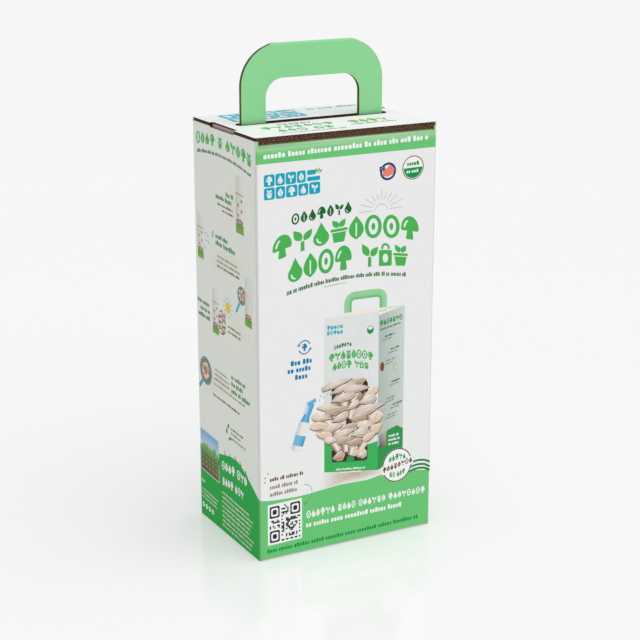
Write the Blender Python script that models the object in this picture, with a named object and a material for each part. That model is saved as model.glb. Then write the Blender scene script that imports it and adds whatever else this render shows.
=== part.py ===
"""A mushroom grow kit: a corrugated carton with a slotted lid and a folded handle, and the kit inside it.

Metres, +Z up. The origin is the centre of the carton's footprint, on the surface it stands on.
The front faces -Y, the lid is hinged along the top of the back, and the handle rises through the lid's slot.
"""

import math

import bmesh
import bpy
from mathutils import Matrix, Vector

# Carton, outside
WIDTH = 0.140
DEPTH = 0.100
LID_TOP = 0.300

# Board and clearances
BOARD = 0.0022
GAP = 0.0003
CORNER_RADIUS = 0.0018
CREASE_GAP = 0.0009

# Lid
TAB_WIDTH = 0.038
TAB_DEPTH = 0.018
TAB_TAPER = 0.005
TAB_RECESS = 0.0028
SLOT_HALF_LENGTH = 0.061
SLOT_WIDTH = 0.0070
SLOT_OFFSET = -0.0006
THUMB_NOTCH = 0.0012

# Handle
HANDLE_Y = 0.002
HANDLE_HALF_WIDTH = 0.0553
HANDLE_RISE = 0.054
HANDLE_CORNER = 0.029
HANDLE_PLY = 0.0016
LEG_WIDTH = 0.0185
TOP_BAND = 0.024
HOLE_CORNER = 0.0130
HANDLE_FOOT = 0.0028
PIVOT_RISE = 0.0010
FRONT_FOOT_ROOM = 0.0042
BACK_FOOT_ROOM = 0.0033

# Tear-out window in the back
WINDOW_HALF_WIDTH = 0.048
WINDOW_LOW = 0.024
WINDOW_HIGH = 0.178
WINDOW_LOW_CORNER = 0.010
WINDOW_HIGH_CORNER = 0.022
THUMB_TAB = 0.009

# Kit inside
BLOCK_HALF_WIDTH = 0.0632
BLOCK_HALF_DEPTH = 0.0445
BLOCK_HEIGHT = 0.215
BLOCK_CORNER = 0.012
KIT_Y = -0.0008
FILM = 0.0006
FOLD_HEIGHT = 0.0045
BOOKLET_SIZE = (0.118, 0.084, 0.0024)
BOTTLE_RADIUS = 0.015
BOTTLE_LENGTH = 0.080
NECK_RADIUS = 0.0085
NECK_LENGTH = 0.008

# Levels, from the lid down and from the floor up
LID_UNDERSIDE = LID_TOP - BOARD
INSERT_TOP = LID_UNDERSIDE - GAP
INSERT_UNDERSIDE = INSERT_TOP - BOARD
TUCK_TOP = INSERT_UNDERSIDE - GAP
TUCK_UNDERSIDE = TUCK_TOP - BOARD
INNER_FLAP_LOW = BOARD + GAP
KIT_FLOOR = 2 * BOARD + 2 * GAP
HALF_WIDTH = WIDTH / 2
HALF_DEPTH = DEPTH / 2
INNER_HALF_WIDTH = HALF_WIDTH - BOARD
INNER_HALF_DEPTH = HALF_DEPTH - BOARD
TAB_OUTSIDE = HALF_WIDTH - TAB_RECESS

ARC_STEPS = 8
BOOLEAN_MARGIN = 0.004


# ---------------------------------------------------------------- shapes


def clear_scene():
    for thing in list(bpy.data.objects):
        bpy.data.objects.remove(thing, do_unlink=True)


def make_material(name, colour, roughness, metallic=0.0):
    material = bpy.data.materials.new(name)
    material.use_nodes = True
    shader = material.node_tree.nodes["Principled BSDF"]
    shader.inputs["Base Color"].default_value = (*colour, 1.0)
    shader.inputs["Roughness"].default_value = roughness
    shader.inputs["Metallic"].default_value = metallic
    material.diffuse_color = (*colour, 1.0)
    return material


def add_object(name, shape, material=None):
    mesh = bpy.data.meshes.new(name)
    bmesh.ops.recalc_face_normals(shape, faces=shape.faces)
    shape.to_mesh(mesh)
    shape.free()
    made = bpy.data.objects.new(name, mesh)
    bpy.context.scene.collection.objects.link(made)
    if material is not None:
        mesh.materials.append(material)
    return made


def slab(name, low, high, material=None):
    """A board or block between two corners."""
    low, high = Vector(low), Vector(high)
    shape = bmesh.new()
    bmesh.ops.create_cube(shape, size=1.0)
    bmesh.ops.scale(shape, vec=high - low, verts=shape.verts)
    bmesh.ops.translate(shape, vec=(low + high) / 2, verts=shape.verts)
    return add_object(name, shape, material)


def rounded_outline(corners, steps=ARC_STEPS):
    """The outline through counter-clockwise corners (x, y, radius), with each corner turned to an arc."""
    outline = []
    for i, (x, y, radius) in enumerate(corners):
        here = Vector((x, y))
        if radius <= 0:
            outline.append(here)
            continue
        before = (Vector(corners[i - 1][:2]) - here).normalized()
        after = (Vector(corners[(i + 1) % len(corners)][:2]) - here).normalized()
        half_angle = before.angle(after) / 2
        reach = radius / math.tan(half_angle)
        centre = here + (before + after).normalized() * radius / math.sin(half_angle)
        start = here + before * reach - centre
        turn = start.angle_signed(here + after * reach - centre)
        outline += [centre + Matrix.Rotation(-turn * k / steps, 2) @ start for k in range(steps + 1)]
    return outline


def prism(name, outline, plane, low, high, material=None):
    """A board cut to an outline in the XY, XZ or YZ plane, from low to high along the third axis."""
    place = {
        "XY": lambda a, b, c: (a, b, c),
        "XZ": lambda a, b, c: (a, c, b),
        "YZ": lambda a, b, c: (c, a, b),
    }[plane]
    shape = bmesh.new()
    base = [shape.verts.new(place(a, b, low)) for a, b in outline]
    top = [shape.verts.new(place(a, b, high)) for a, b in outline]
    shape.faces.new(base)
    shape.faces.new(top)
    count = len(outline)
    for i in range(count):
        j = (i + 1) % count
        shape.faces.new((base[i], base[j], top[j], top[i]))
    return add_object(name, shape, material)


def turned(name, profile, start, material, sides=28):
    """A closed shape turned about a line along +X, from (distance, radius) pairs that end at radius 0."""
    shape = bmesh.new()
    rings = []
    for along, radius in profile:
        if radius == 0:
            rings.append([shape.verts.new((along, 0, 0))])
            continue
        angles = [2 * math.pi * k / sides for k in range(sides)]
        rings.append([shape.verts.new((along, radius * math.cos(a), radius * math.sin(a))) for a in angles])
    for first, second in zip(rings, rings[1:]):
        for k in range(sides):
            corners = [first[k % len(first)], first[(k + 1) % len(first)]]
            corners += [second[(k + 1) % len(second)], second[k % len(second)]]
            shape.faces.new(list(dict.fromkeys(corners)))
    bmesh.ops.translate(shape, vec=start, verts=shape.verts)
    made = add_object(name, shape, material)
    made.data.shade_smooth()
    made.data.set_sharp_from_angle(angle=math.radians(35))
    return made


def boolean(target, other, operation):
    """Keeps a live Boolean on target, and marks the other shape as a tool."""
    modifier = target.modifiers.new(f"{operation.lower()}_{other.name}", "BOOLEAN")
    modifier.operation = operation
    modifier.object = other
    other.hide_render = True
    other.display_type = "WIRE"
    return target


def hang_on(thing, pivot):
    """Parents a moving piece to an empty on its joint's axis, without moving it."""
    thing.parent = pivot
    thing.matrix_parent_inverse = pivot.matrix_world.inverted()


def pivot_empty(name, place):
    empty = bpy.data.objects.new(name, None)
    bpy.context.scene.collection.objects.link(empty)
    empty.location = place
    bpy.context.view_layer.update()
    return empty


# ---------------------------------------------------------------- carton


def window_outline(inset):
    """The tear-out window with its round thumb tab at the top, drawn in by inset."""
    half = WINDOW_HALF_WIDTH - inset
    low = WINDOW_LOW + inset
    high = WINDOW_HIGH - inset
    tab = THUMB_TAB - inset
    corners = [
        (-half, low, WINDOW_LOW_CORNER - inset),
        (half, low, WINDOW_LOW_CORNER - inset),
        (half, high, WINDOW_HIGH_CORNER - inset),
        (tab, high, 0),
        (tab, high + tab, tab * 0.99),
        (-tab, high + tab, tab * 0.99),
        (-tab, high, 0),
        (-half, high, WINDOW_HIGH_CORNER - inset),
    ]
    return rounded_outline(corners)


def carton_sleeve(board):
    """Four walls folded from one sheet. The front wall stops lower, where it creases into its tuck flap."""
    sides = ((-1, -1), (1, -1), (1, 1), (-1, 1))
    outer = [(x * HALF_WIDTH, y * HALF_DEPTH, CORNER_RADIUS) for x, y in sides]
    sleeve = prism("carton_sleeve", rounded_outline(outer, 5), "XY", 0, INSERT_TOP, board)
    over = BOOLEAN_MARGIN
    cutters = [
        slab(
            "inside_cutter",
            (-INNER_HALF_WIDTH, -INNER_HALF_DEPTH, -over),
            (INNER_HALF_WIDTH, INNER_HALF_DEPTH, LID_TOP + over),
        ),
        slab(
            "front_top_cutter",
            (-INNER_HALF_WIDTH + 0.0001, -HALF_DEPTH - over, TUCK_TOP),
            (INNER_HALF_WIDTH - 0.0001, 0, LID_TOP + over),
        ),
        slab(
            "bottom_crease_cutter",
            (-INNER_HALF_WIDTH + 0.0001, -HALF_DEPTH - over, -over),
            (INNER_HALF_WIDTH - 0.0001, HALF_DEPTH + over, CREASE_GAP),
        ),
        slab(
            "thumb_notch_cutter",
            (-HALF_WIDTH - over, HANDLE_Y - TAB_WIDTH / 2, INSERT_TOP - THUMB_NOTCH),
            (HALF_WIDTH + over, HANDLE_Y + TAB_WIDTH / 2, LID_TOP + over),
        ),
        prism("window_cutter", window_outline(0), "XZ", 0, HALF_DEPTH + over),
    ]
    for cutter in cutters:
        boolean(sleeve, cutter, "DIFFERENCE")
    return sleeve


def carton_trim(board):
    """The glue flap inside the back, the tear-out window, and the flap that the front wall folds into."""
    slab(
        "glue_flap",
        (-INNER_HALF_WIDTH + GAP, INNER_HALF_DEPTH - GAP - BOARD, KIT_FLOOR + 0.002),
        (-WINDOW_HALF_WIDTH - 0.002, INNER_HALF_DEPTH - GAP, TUCK_UNDERSIDE - 0.005),
        board,
    )
    prism("tear_out_window", window_outline(GAP), "XZ", INNER_HALF_DEPTH, HALF_DEPTH, board)
    crease = INNER_HALF_WIDTH - 0.001
    free = INNER_HALF_WIDTH - 0.008
    tuck = [
        (-crease, -INNER_HALF_DEPTH + GAP, 0),
        (crease, -INNER_HALF_DEPTH + GAP, 0),
        (free, HANDLE_Y - 0.008, 0.006),
        (-free, HANDLE_Y - 0.008, 0.006),
    ]
    prism("front_tuck_flap", rounded_outline(tuck), "XY", TUCK_UNDERSIDE, TUCK_TOP, board)


def bottom_flaps(board):
    """Two outer flaps from the sides and two inner flaps from the front and back, meeting in the middle."""
    wide = INNER_HALF_WIDTH - GAP
    deep = INNER_HALF_DEPTH - GAP
    seam = GAP / 2
    slab("bottom_left_flap", (-wide, -deep, 0), (-seam, deep, BOARD), board)
    slab("bottom_right_flap", (seam, -deep, 0), (wide, deep, BOARD), board)
    slab("bottom_front_flap", (-wide, -deep, INNER_FLAP_LOW), (wide, -seam, INNER_FLAP_LOW + BOARD), board)
    slab("bottom_back_flap", (-wide, seam, INNER_FLAP_LOW), (wide, deep, INNER_FLAP_LOW + BOARD), board)


def lid(board):
    """The top flap, hinged at the back, with the handle's slot and a tuck tab folded down at each side."""
    tab_front = HANDLE_Y - TAB_WIDTH / 2
    tab_back = HANDLE_Y + TAB_WIDTH / 2
    corners = [
        (-HALF_WIDTH, -HALF_DEPTH, CORNER_RADIUS),
        (HALF_WIDTH, -HALF_DEPTH, CORNER_RADIUS),
        (HALF_WIDTH, tab_front, 0),
        (TAB_OUTSIDE, tab_front, 0),
        (TAB_OUTSIDE, tab_back, 0),
        (HALF_WIDTH, tab_back, 0),
        (HALF_WIDTH, HALF_DEPTH, 0),
        (-HALF_WIDTH, HALF_DEPTH, 0),
        (-HALF_WIDTH, tab_back, 0),
        (-TAB_OUTSIDE, tab_back, 0),
        (-TAB_OUTSIDE, tab_front, 0),
        (-HALF_WIDTH, tab_front, 0),
    ]
    flap = prism("lid_flap", rounded_outline(corners), "XY", LID_UNDERSIDE, LID_TOP, board)
    slot_y = HANDLE_Y + SLOT_OFFSET
    half = SLOT_WIDTH / 2
    slot = [
        (-SLOT_HALF_LENGTH, slot_y - half, half * 0.99),
        (SLOT_HALF_LENGTH, slot_y - half, half * 0.99),
        (SLOT_HALF_LENGTH, slot_y + half, half * 0.99),
        (-SLOT_HALF_LENGTH, slot_y + half, half * 0.99),
    ]
    over = BOOLEAN_MARGIN
    slot_cutter = prism("slot_cutter", rounded_outline(slot), "XY", LID_UNDERSIDE - over, LID_TOP + over)
    boolean(flap, slot_cutter, "DIFFERENCE")
    low = LID_UNDERSIDE - TAB_DEPTH
    tab = [
        (tab_front + TAB_TAPER, low, 0.004),
        (tab_back - TAB_TAPER, low, 0.004),
        (tab_back - 0.0002, LID_UNDERSIDE + BOARD / 2, 0),
        (tab_front + 0.0002, LID_UNDERSIDE + BOARD / 2, 0),
    ]
    for side, name in ((-1, "left_tab_tool"), (1, "right_tab_tool")):
        faces = sorted((side * (TAB_OUTSIDE - 0.0001), side * (TAB_OUTSIDE - BOARD)))
        boolean(flap, prism(name, rounded_outline(tab), "YZ", faces[0], faces[1]), "UNION")
    return flap


def handle_insert(board):
    """The two flat panels under the lid that the handle is creased up from, cut back round the lid tabs."""
    wide = INNER_HALF_WIDTH - GAP - 0.0001
    narrow = TAB_OUTSIDE - BOARD - 0.0015
    tab_front = HANDLE_Y - TAB_WIDTH / 2 - 0.005
    tab_back = HANDLE_Y + TAB_WIDTH / 2 + 0.004
    front_edge = -HALF_DEPTH + GAP
    back_edge = INNER_HALF_DEPTH - GAP
    front = [
        (-wide, front_edge),
        (wide, front_edge),
        (wide, tab_front),
        (narrow, tab_front),
        (narrow, HANDLE_Y - FRONT_FOOT_ROOM),
        (-narrow, HANDLE_Y - FRONT_FOOT_ROOM),
        (-narrow, tab_front),
        (-wide, tab_front),
    ]
    back = [
        (-narrow, HANDLE_Y + BACK_FOOT_ROOM),
        (narrow, HANDLE_Y + BACK_FOOT_ROOM),
        (narrow, tab_back),
        (wide, tab_back),
        (wide, back_edge),
        (-wide, back_edge),
        (-wide, tab_back),
        (-narrow, tab_back),
    ]
    prism("insert_front_panel", front, "XY", INSERT_UNDERSIDE, INSERT_TOP, board)
    prism("insert_back_panel", back, "XY", INSERT_UNDERSIDE, INSERT_TOP, board)


def handle(board):
    """One sheet folded double along its top edge, so both faces are printed, with a hand hole open below."""
    thickness = 2 * HANDLE_PLY + GAP
    top = LID_TOP + HANDLE_RISE
    foot = LID_TOP - HANDLE_FOOT
    outer = [
        (-HANDLE_HALF_WIDTH, foot, 0),
        (HANDLE_HALF_WIDTH, foot, 0),
        (HANDLE_HALF_WIDTH, top, HANDLE_CORNER),
        (-HANDLE_HALF_WIDTH, top, HANDLE_CORNER),
    ]
    near, far = HANDLE_Y - thickness / 2, HANDLE_Y + thickness / 2
    made = prism("handle", rounded_outline(outer, 14), "XZ", near, far, board)
    hole_half = HANDLE_HALF_WIDTH - LEG_WIDTH
    over = BOOLEAN_MARGIN
    hole = [
        (-hole_half, foot - over, 0),
        (hole_half, foot - over, 0),
        (hole_half, top - TOP_BAND, HOLE_CORNER),
        (-hole_half, top - TOP_BAND, HOLE_CORNER),
    ]
    hole_cutter = prism("hand_hole_cutter", rounded_outline(hole, 10), "XZ", near - over, far + over)
    boolean(made, hole_cutter, "DIFFERENCE")
    ply_gap = slab(
        "ply_gap_cutter",
        (-HANDLE_HALF_WIDTH - over, HANDLE_Y - GAP / 2, foot - over),
        (HANDLE_HALF_WIDTH + over, HANDLE_Y + GAP / 2, top - HANDLE_PLY),
    )
    boolean(made, ply_gap, "DIFFERENCE")
    return made


# ---------------------------------------------------------------- kit inside


def grow_block(substrate, film):
    """The pressed block of growing medium, in a film bag whose empty top is folded flat over it."""
    half_x, half_y = BLOCK_HALF_WIDTH, BLOCK_HALF_DEPTH
    low = KIT_FLOOR + GAP + FILM + GAP
    high = low + BLOCK_HEIGHT
    sides = ((-1, -1), (1, -1), (1, 1), (-1, 1))
    block = [(x * half_x, KIT_Y + y * half_y, BLOCK_CORNER) for x, y in sides]
    prism("growing_block", rounded_outline(block, 6), "XY", low, high, substrate)
    bag_x, bag_y = half_x + GAP + FILM, half_y + GAP + FILM
    bag = [(x * bag_x, KIT_Y + y * bag_y, BLOCK_CORNER + GAP + FILM) for x, y in sides]
    hollow = [(x * (half_x + GAP), KIT_Y + y * (half_y + GAP), BLOCK_CORNER + GAP) for x, y in sides]
    sack = prism("grow_bag", rounded_outline(bag, 6), "XY", low - GAP - FILM, high + GAP, film)
    space = prism("bag_space_cutter", rounded_outline(hollow, 6), "XY", low - GAP, high + BOOLEAN_MARGIN)
    boolean(sack, space, "DIFFERENCE")
    fold = [(x * half_x * 0.88, KIT_Y + y * half_y * 0.6, 0.006) for x, y in sides]
    fold_low = high + 2 * GAP
    prism("bag_top_fold", rounded_outline(fold), "XY", fold_low, fold_low + FOLD_HEIGHT, film)
    return fold_low + FOLD_HEIGHT


def booklet(paper, rest_on):
    wide, deep, thick = BOOKLET_SIZE
    low = rest_on + GAP
    slab("booklet", (-wide / 2, KIT_Y - deep / 2, low), (wide / 2, KIT_Y + deep / 2, low + thick), paper)
    return low + thick


def spray_bottle(clear_plastic, blue_plastic, rest_on):
    """A small pump bottle lying along X: a hollow body, a screw collar and a pump head."""
    wall = 0.0012
    start = (-0.054, KIT_Y, rest_on + GAP + BOTTLE_RADIUS)
    shoulder = BOTTLE_LENGTH - 0.012
    end = BOTTLE_LENGTH + NECK_LENGTH
    radius = BOTTLE_RADIUS
    outside = [
        (0, 0),
        (0, radius - 0.0025),
        (0.0008, radius - 0.0008),
        (0.0025, radius),
        (shoulder, radius),
        (BOTTLE_LENGTH - 0.006, radius * 0.88),
        (BOTTLE_LENGTH, NECK_RADIUS),
        (end, NECK_RADIUS),
    ]
    inside = [
        (end, NECK_RADIUS - wall),
        (BOTTLE_LENGTH, NECK_RADIUS - wall),
        (BOTTLE_LENGTH - 0.006, radius * 0.88 - wall),
        (shoulder, radius - wall),
        (0.0025, radius - wall),
        (wall, radius - 0.0035),
        (wall, 0),
    ]
    turned("bottle_body", outside + inside, start, clear_plastic)
    collar_start = BOTTLE_LENGTH + 0.0006
    collar_end = collar_start + 0.011
    bore = NECK_RADIUS + GAP
    mouth = end + GAP
    collar = [
        (mouth, 0),
        (mouth, bore),
        (collar_start, bore),
        (collar_start, bore + 0.0030),
        (collar_end - 0.001, bore + 0.0030),
        (collar_end, bore + 0.0020),
        (collar_end, 0),
    ]
    turned("pump_collar", collar, start, blue_plastic)
    head_start = collar_end + GAP
    head = [
        (head_start, 0),
        (head_start, 0.0042),
        (head_start + 0.004, 0.0042),
        (head_start + 0.0042, 0.0068),
        (head_start + 0.0135, 0.0068),
        (head_start + 0.0145, 0.0058),
        (head_start + 0.0145, 0),
    ]
    turned("spray_head", head, start, blue_plastic, sides=20)


# ---------------------------------------------------------------- assembly


def main():
    clear_scene()
    printed_board = make_material("printed_board", (0.86, 0.88, 0.87), 0.45)
    kraft_board = make_material("kraft_board", (0.42, 0.28, 0.18), 0.85)
    green_board = make_material("green_board", (0.27, 0.64, 0.30), 0.45)
    substrate = make_material("substrate", (0.55, 0.44, 0.32), 0.95)
    film = make_material("bag_film", (0.80, 0.82, 0.83), 0.30)
    paper = make_material("booklet_paper", (0.82, 0.88, 0.80), 0.60)
    clear_plastic = make_material("bottle_plastic", (0.85, 0.90, 0.93), 0.25)
    blue_plastic = make_material("pump_plastic", (0.20, 0.55, 0.75), 0.35)

    carton_sleeve(printed_board)
    carton_trim(printed_board)
    bottom_flaps(green_board)
    handle_insert(kraft_board)

    lid_crease = pivot_empty("lid_crease_axis", (0, HALF_DEPTH, LID_TOP))
    hang_on(lid(printed_board), lid_crease)
    handle_crease = pivot_empty("handle_crease_axis", (0, HANDLE_Y, LID_TOP + PIVOT_RISE))
    hang_on(handle(green_board), handle_crease)

    level = grow_block(substrate, film)
    level = booklet(paper, level)
    spray_bottle(clear_plastic, blue_plastic, level)


main()
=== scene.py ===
import math

import bpy
from mathutils import Matrix, Vector


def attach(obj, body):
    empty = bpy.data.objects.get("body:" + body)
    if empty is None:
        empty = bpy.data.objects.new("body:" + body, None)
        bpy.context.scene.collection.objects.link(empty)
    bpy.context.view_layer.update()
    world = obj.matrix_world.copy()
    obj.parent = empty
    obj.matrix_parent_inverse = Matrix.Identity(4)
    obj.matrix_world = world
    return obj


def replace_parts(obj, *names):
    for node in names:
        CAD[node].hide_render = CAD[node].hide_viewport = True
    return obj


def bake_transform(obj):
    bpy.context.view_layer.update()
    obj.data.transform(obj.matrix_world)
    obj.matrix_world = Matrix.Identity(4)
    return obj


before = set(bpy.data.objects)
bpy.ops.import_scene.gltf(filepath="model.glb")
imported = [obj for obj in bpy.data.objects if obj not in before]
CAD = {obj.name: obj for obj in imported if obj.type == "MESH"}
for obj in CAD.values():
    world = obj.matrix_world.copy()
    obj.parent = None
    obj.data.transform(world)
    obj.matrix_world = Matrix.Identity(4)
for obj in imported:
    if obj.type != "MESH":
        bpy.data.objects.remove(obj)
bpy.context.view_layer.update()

# Lengths below are in millimetres, and every place matrix turns them into metres.
MM = 0.001

# The carton: half its size, how far its looks lie inside that, and its boards
HALF_W = 70.0
HALF_D = 50.0
SKIN = 0.15
FACE_X = HALF_W - SKIN
FACE_Y = HALF_D - SKIN
INNER_HALF = 67.7
LINER = 0.33
LINING = 0.3
CORE = 1.3
LID_Z = 300.0 - SKIN
LID_LOW = 297.82
INSERT_HIGH = 297.48
INSERT_LOW = 295.32
FOLD_Z = 294.95
FOLD_LOW = 292.4
HANDLE_Y = 2.0
NOTCH = (-17.0, 21.0)
NOTCH_DEPTH = 0.8
FLUTE_PITCH = 3.3
FLUTE_PAPER_THICK = 0.3
INK_LIFT = 0.02
INK_STEP = 0.008

# Heights that a cutter reaches below and above the lid, and above the walls
UNDER_LID, OVER_LID, OVER_WALLS = 290, 305, 310

RIGHT, LEFT, BACK, UP = (1, 0, 0), (-1, 0, 0), (0, 1, 0), (0, 0, 1)


# ---------------------------------------------------------------- modelling


def only(*things):
    """Selects these objects and nothing else."""
    bpy.ops.object.select_all(action="DESELECT")
    for thing in things:
        thing.select_set(True)
    bpy.context.view_layer.objects.active = things[0]


def plane(origin, right, up):
    """The place of a flat drawing: its origin, its right and its up, with its normal towards the viewer."""
    right, up = Vector(right), Vector(up)
    turn = Matrix((right, up, right.cross(up))).transposed().to_4x4()
    return Matrix.Scale(MM, 4) @ Matrix.Translation(Vector(origin)) @ turn


def curve_outline(name, loops, thickness):
    """A filled drawing of closed outlines, still as a curve."""
    curve = bpy.data.curves.new(name, "CURVE")
    curve.dimensions = "2D"
    curve.fill_mode = "BOTH"
    curve.extrude = thickness / 2
    for loop in loops:
        spline = curve.splines.new("POLY")
        spline.points.add(len(loop) - 1)
        for point, (x, y) in zip(spline.points, loop):
            point.co = (x, y, 0, 1)
        spline.use_cyclic_u = True
    drawn = bpy.data.objects.new(name, curve)
    bpy.context.scene.collection.objects.link(drawn)
    return drawn


def tidy_normals(thing, merge=1e-4):
    """Joins corners that meet, and turns every face outwards."""
    only(thing)
    bpy.ops.object.mode_set(mode="EDIT")
    bpy.ops.mesh.select_all(action="SELECT")
    bpy.ops.mesh.remove_doubles(threshold=merge)
    bpy.ops.mesh.normals_make_consistent(inside=False)
    bpy.ops.object.mode_set(mode="OBJECT")


def cut_sheet(name, loops, thickness, material, place):
    """A sheet of this thickness, die-cut to its outlines. A loop inside another is a hole."""
    drawn = curve_outline(name, loops, thickness)
    only(drawn)
    bpy.ops.object.convert(target="MESH")
    made = bpy.context.object
    tidy_normals(made)
    made.data.materials.clear()
    made.data.materials.append(material)
    made.data.transform(place)
    return made


def join(name, things):
    only(*things)
    bpy.ops.object.join()
    made = bpy.context.object
    made.name = name
    made.data.name = name
    return made


def cut_away(thing, *cutters):
    for cutter in cutters:
        apply(thing, "BOOLEAN", operation="DIFFERENCE", solver="EXACT", object=cutter)
        bpy.data.objects.remove(cutter)
    return thing


def block(low, high, material=None):
    """A block between two corners, as a start for a sheet or a cutter."""
    low, high = Vector(low) * MM, Vector(high) * MM
    bpy.ops.object.select_all(action="DESELECT")
    bpy.ops.mesh.primitive_cube_add(size=1, location=(low + high) / 2, scale=high - low)
    bpy.ops.object.transform_apply()
    made = bpy.context.object
    if material:
        made.data.materials.append(material)
    return made


def select_parts(thing, kind, wanted):
    """Goes into edit mode with the edges or faces chosen by wanted(middle in mm, direction or normal)."""
    only(thing)
    bpy.ops.object.mode_set(mode="EDIT")
    bpy.ops.mesh.select_mode(type=kind)
    bpy.ops.mesh.select_all(action="DESELECT")
    bpy.ops.object.mode_set(mode="OBJECT")
    mesh = thing.data
    if kind == "FACE":
        for face in mesh.polygons:
            face.select = wanted(face.center / MM, face.normal)
    else:
        for edge in mesh.edges:
            a, b = (mesh.vertices[k].co for k in edge.vertices)
            edge.select = wanted((a + b) / 2 / MM, (b - a).normalized())
    bpy.ops.object.mode_set(mode="EDIT")


def round_edges(thing, radius, wanted, segments=8):
    select_parts(thing, "EDGE", wanted)
    bpy.ops.mesh.bevel(offset=radius * MM, segments=segments, affect="EDGES")
    bpy.ops.object.mode_set(mode="OBJECT")
    return thing


def upright(_, run):
    """Whether an edge runs straight up."""
    return abs(run.z) > 0.99


def apply(thing, kind, **settings):
    modifier = thing.modifiers.new(kind.lower(), kind)
    for key, value in settings.items():
        setattr(modifier, key, value)
    only(thing)
    bpy.ops.object.modifier_apply(modifier=modifier.name)
    return thing


def rounded(corners, steps=8):
    """The outline through counter-clockwise corners (x, y, radius), with each corner turned to an arc."""
    outline = []
    for i, (x, y, radius) in enumerate(corners):
        here = Vector((x, y))
        if radius <= 0:
            outline.append(here)
            continue
        before = (Vector(corners[i - 1][:2]) - here).normalized()
        after = (Vector(corners[(i + 1) % len(corners)][:2]) - here).normalized()
        half_angle = before.angle(after) / 2
        centre = here + (before + after).normalized() * radius / math.sin(half_angle)
        start = here + before * radius / math.tan(half_angle) - centre
        end = here + after * radius / math.tan(half_angle) - centre
        turn = -start.angle_signed(end)
        outline += [centre + Matrix.Rotation(turn * k / steps, 2) @ start for k in range(steps + 1)]
    return [tuple(p) for p in outline]


def box_loop(x0, y0, x1, y1, radius, steps):
    return rounded([(x0, y0, radius), (x1, y0, radius), (x1, y1, radius), (x0, y1, radius)], steps)


def flutes(start, along, across, run, length, height):
    """A strip of fluting whose waves go one way from its start. It is height thick, and each flute is run long."""
    waves = round(length / FLUTE_PITCH * 8)
    bpy.ops.object.select_all(action="DESELECT")
    bpy.ops.mesh.primitive_grid_add(x_subdivisions=waves, y_subdivisions=1, size=1)
    made = bpy.context.object
    swing = (height - FLUTE_PAPER_THICK) / 2
    for corner in made.data.vertices:
        x = (corner.co.x + 0.5) * length
        corner.co = (x, swing * math.sin(math.tau * x / FLUTE_PITCH), corner.co.y * run)
    apply(made, "SOLIDIFY", thickness=FLUTE_PAPER_THICK, offset=0.0)
    made.data.materials.append(FLUTE_PAPER)
    made.data.transform(plane(start, along, across))
    return made


# ---------------------------------------------------------------- materials


def srgb(red, green, blue):
    """A linear colour from the usual 0 to 255 values."""
    return tuple((v / 255 / 12.92) if v <= 10 else ((v / 255 + 0.055) / 1.055) ** 2.4 for v in (red, green, blue))


def node(tree, kind, inputs=None, **settings):
    """Adds a shader node. Each input is a value, or another node's socket to link from."""
    made = tree.nodes.new(kind)
    for key, value in settings.items():
        setattr(made, key, value)
    for key, value in (inputs or {}).items():
        if isinstance(value, bpy.types.NodeSocket):
            tree.links.new(value, made.inputs[key])
        else:
            made.inputs[key].default_value = value
    return made


def maths(tree, operation, a, b=0.0, c=0.0):
    return node(tree, "ShaderNodeMath", {0: a, 1: b, 2: c}, operation=operation).outputs[0]


def mix_colour(tree, factor, a, b, blend="MIX"):
    made = node(tree, "ShaderNodeMix", {"Factor": factor}, data_type="RGBA", blend_type=blend)
    for socket, value in ((made.inputs[6], a), (made.inputs[7], b)):
        if isinstance(value, bpy.types.NodeSocket):
            tree.links.new(value, socket)
        else:
            socket.default_value = (*value, 1.0)
    return made.outputs[2]


def new_group(name, inputs, outputs):
    tree = bpy.data.node_groups.new(name, "ShaderNodeTree")
    for label, kind, value in inputs:
        socket = tree.interface.new_socket(label, in_out="INPUT", socket_type="NodeSocket" + kind)
        socket.default_value = (*value, 1.0) if kind == "Color" else value
    for label, kind in outputs:
        tree.interface.new_socket(label, in_out="OUTPUT", socket_type="NodeSocket" + kind)
    return tree, tree.nodes.new("NodeGroupInput").outputs, tree.nodes.new("NodeGroupOutput")


def close_group(tree, out, values):
    for label, socket in values.items():
        tree.links.new(socket, out.inputs[label])
    return tree


def noise(tree, where, scale, detail=2.0, roughness=0.5):
    return node(
        tree, "ShaderNodeTexNoise", {"Vector": where, "Scale": scale, "Detail": detail, "Roughness": roughness}
    ).outputs["Fac"]


def object_place(tree):
    return node(tree, "ShaderNodeTexCoord").outputs["Object"]


def part_way(tree, value, low, high, top=1.0):
    """How far a value is from low to high, as 0 to top."""
    limits = {"Value": value, "From Min": low, "From Max": high, "To Max": top}
    return node(tree, "ShaderNodeMapRange", limits).outputs[0]


def shaded(tree, colour, light):
    """A colour made lighter or darker by one value."""
    grey = node(tree, "ShaderNodeCombineColor", {0: light, 1: light, 2: light}).outputs[0]
    return mix_colour(tree, 1.0, colour, grey, "MULTIPLY")


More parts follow.
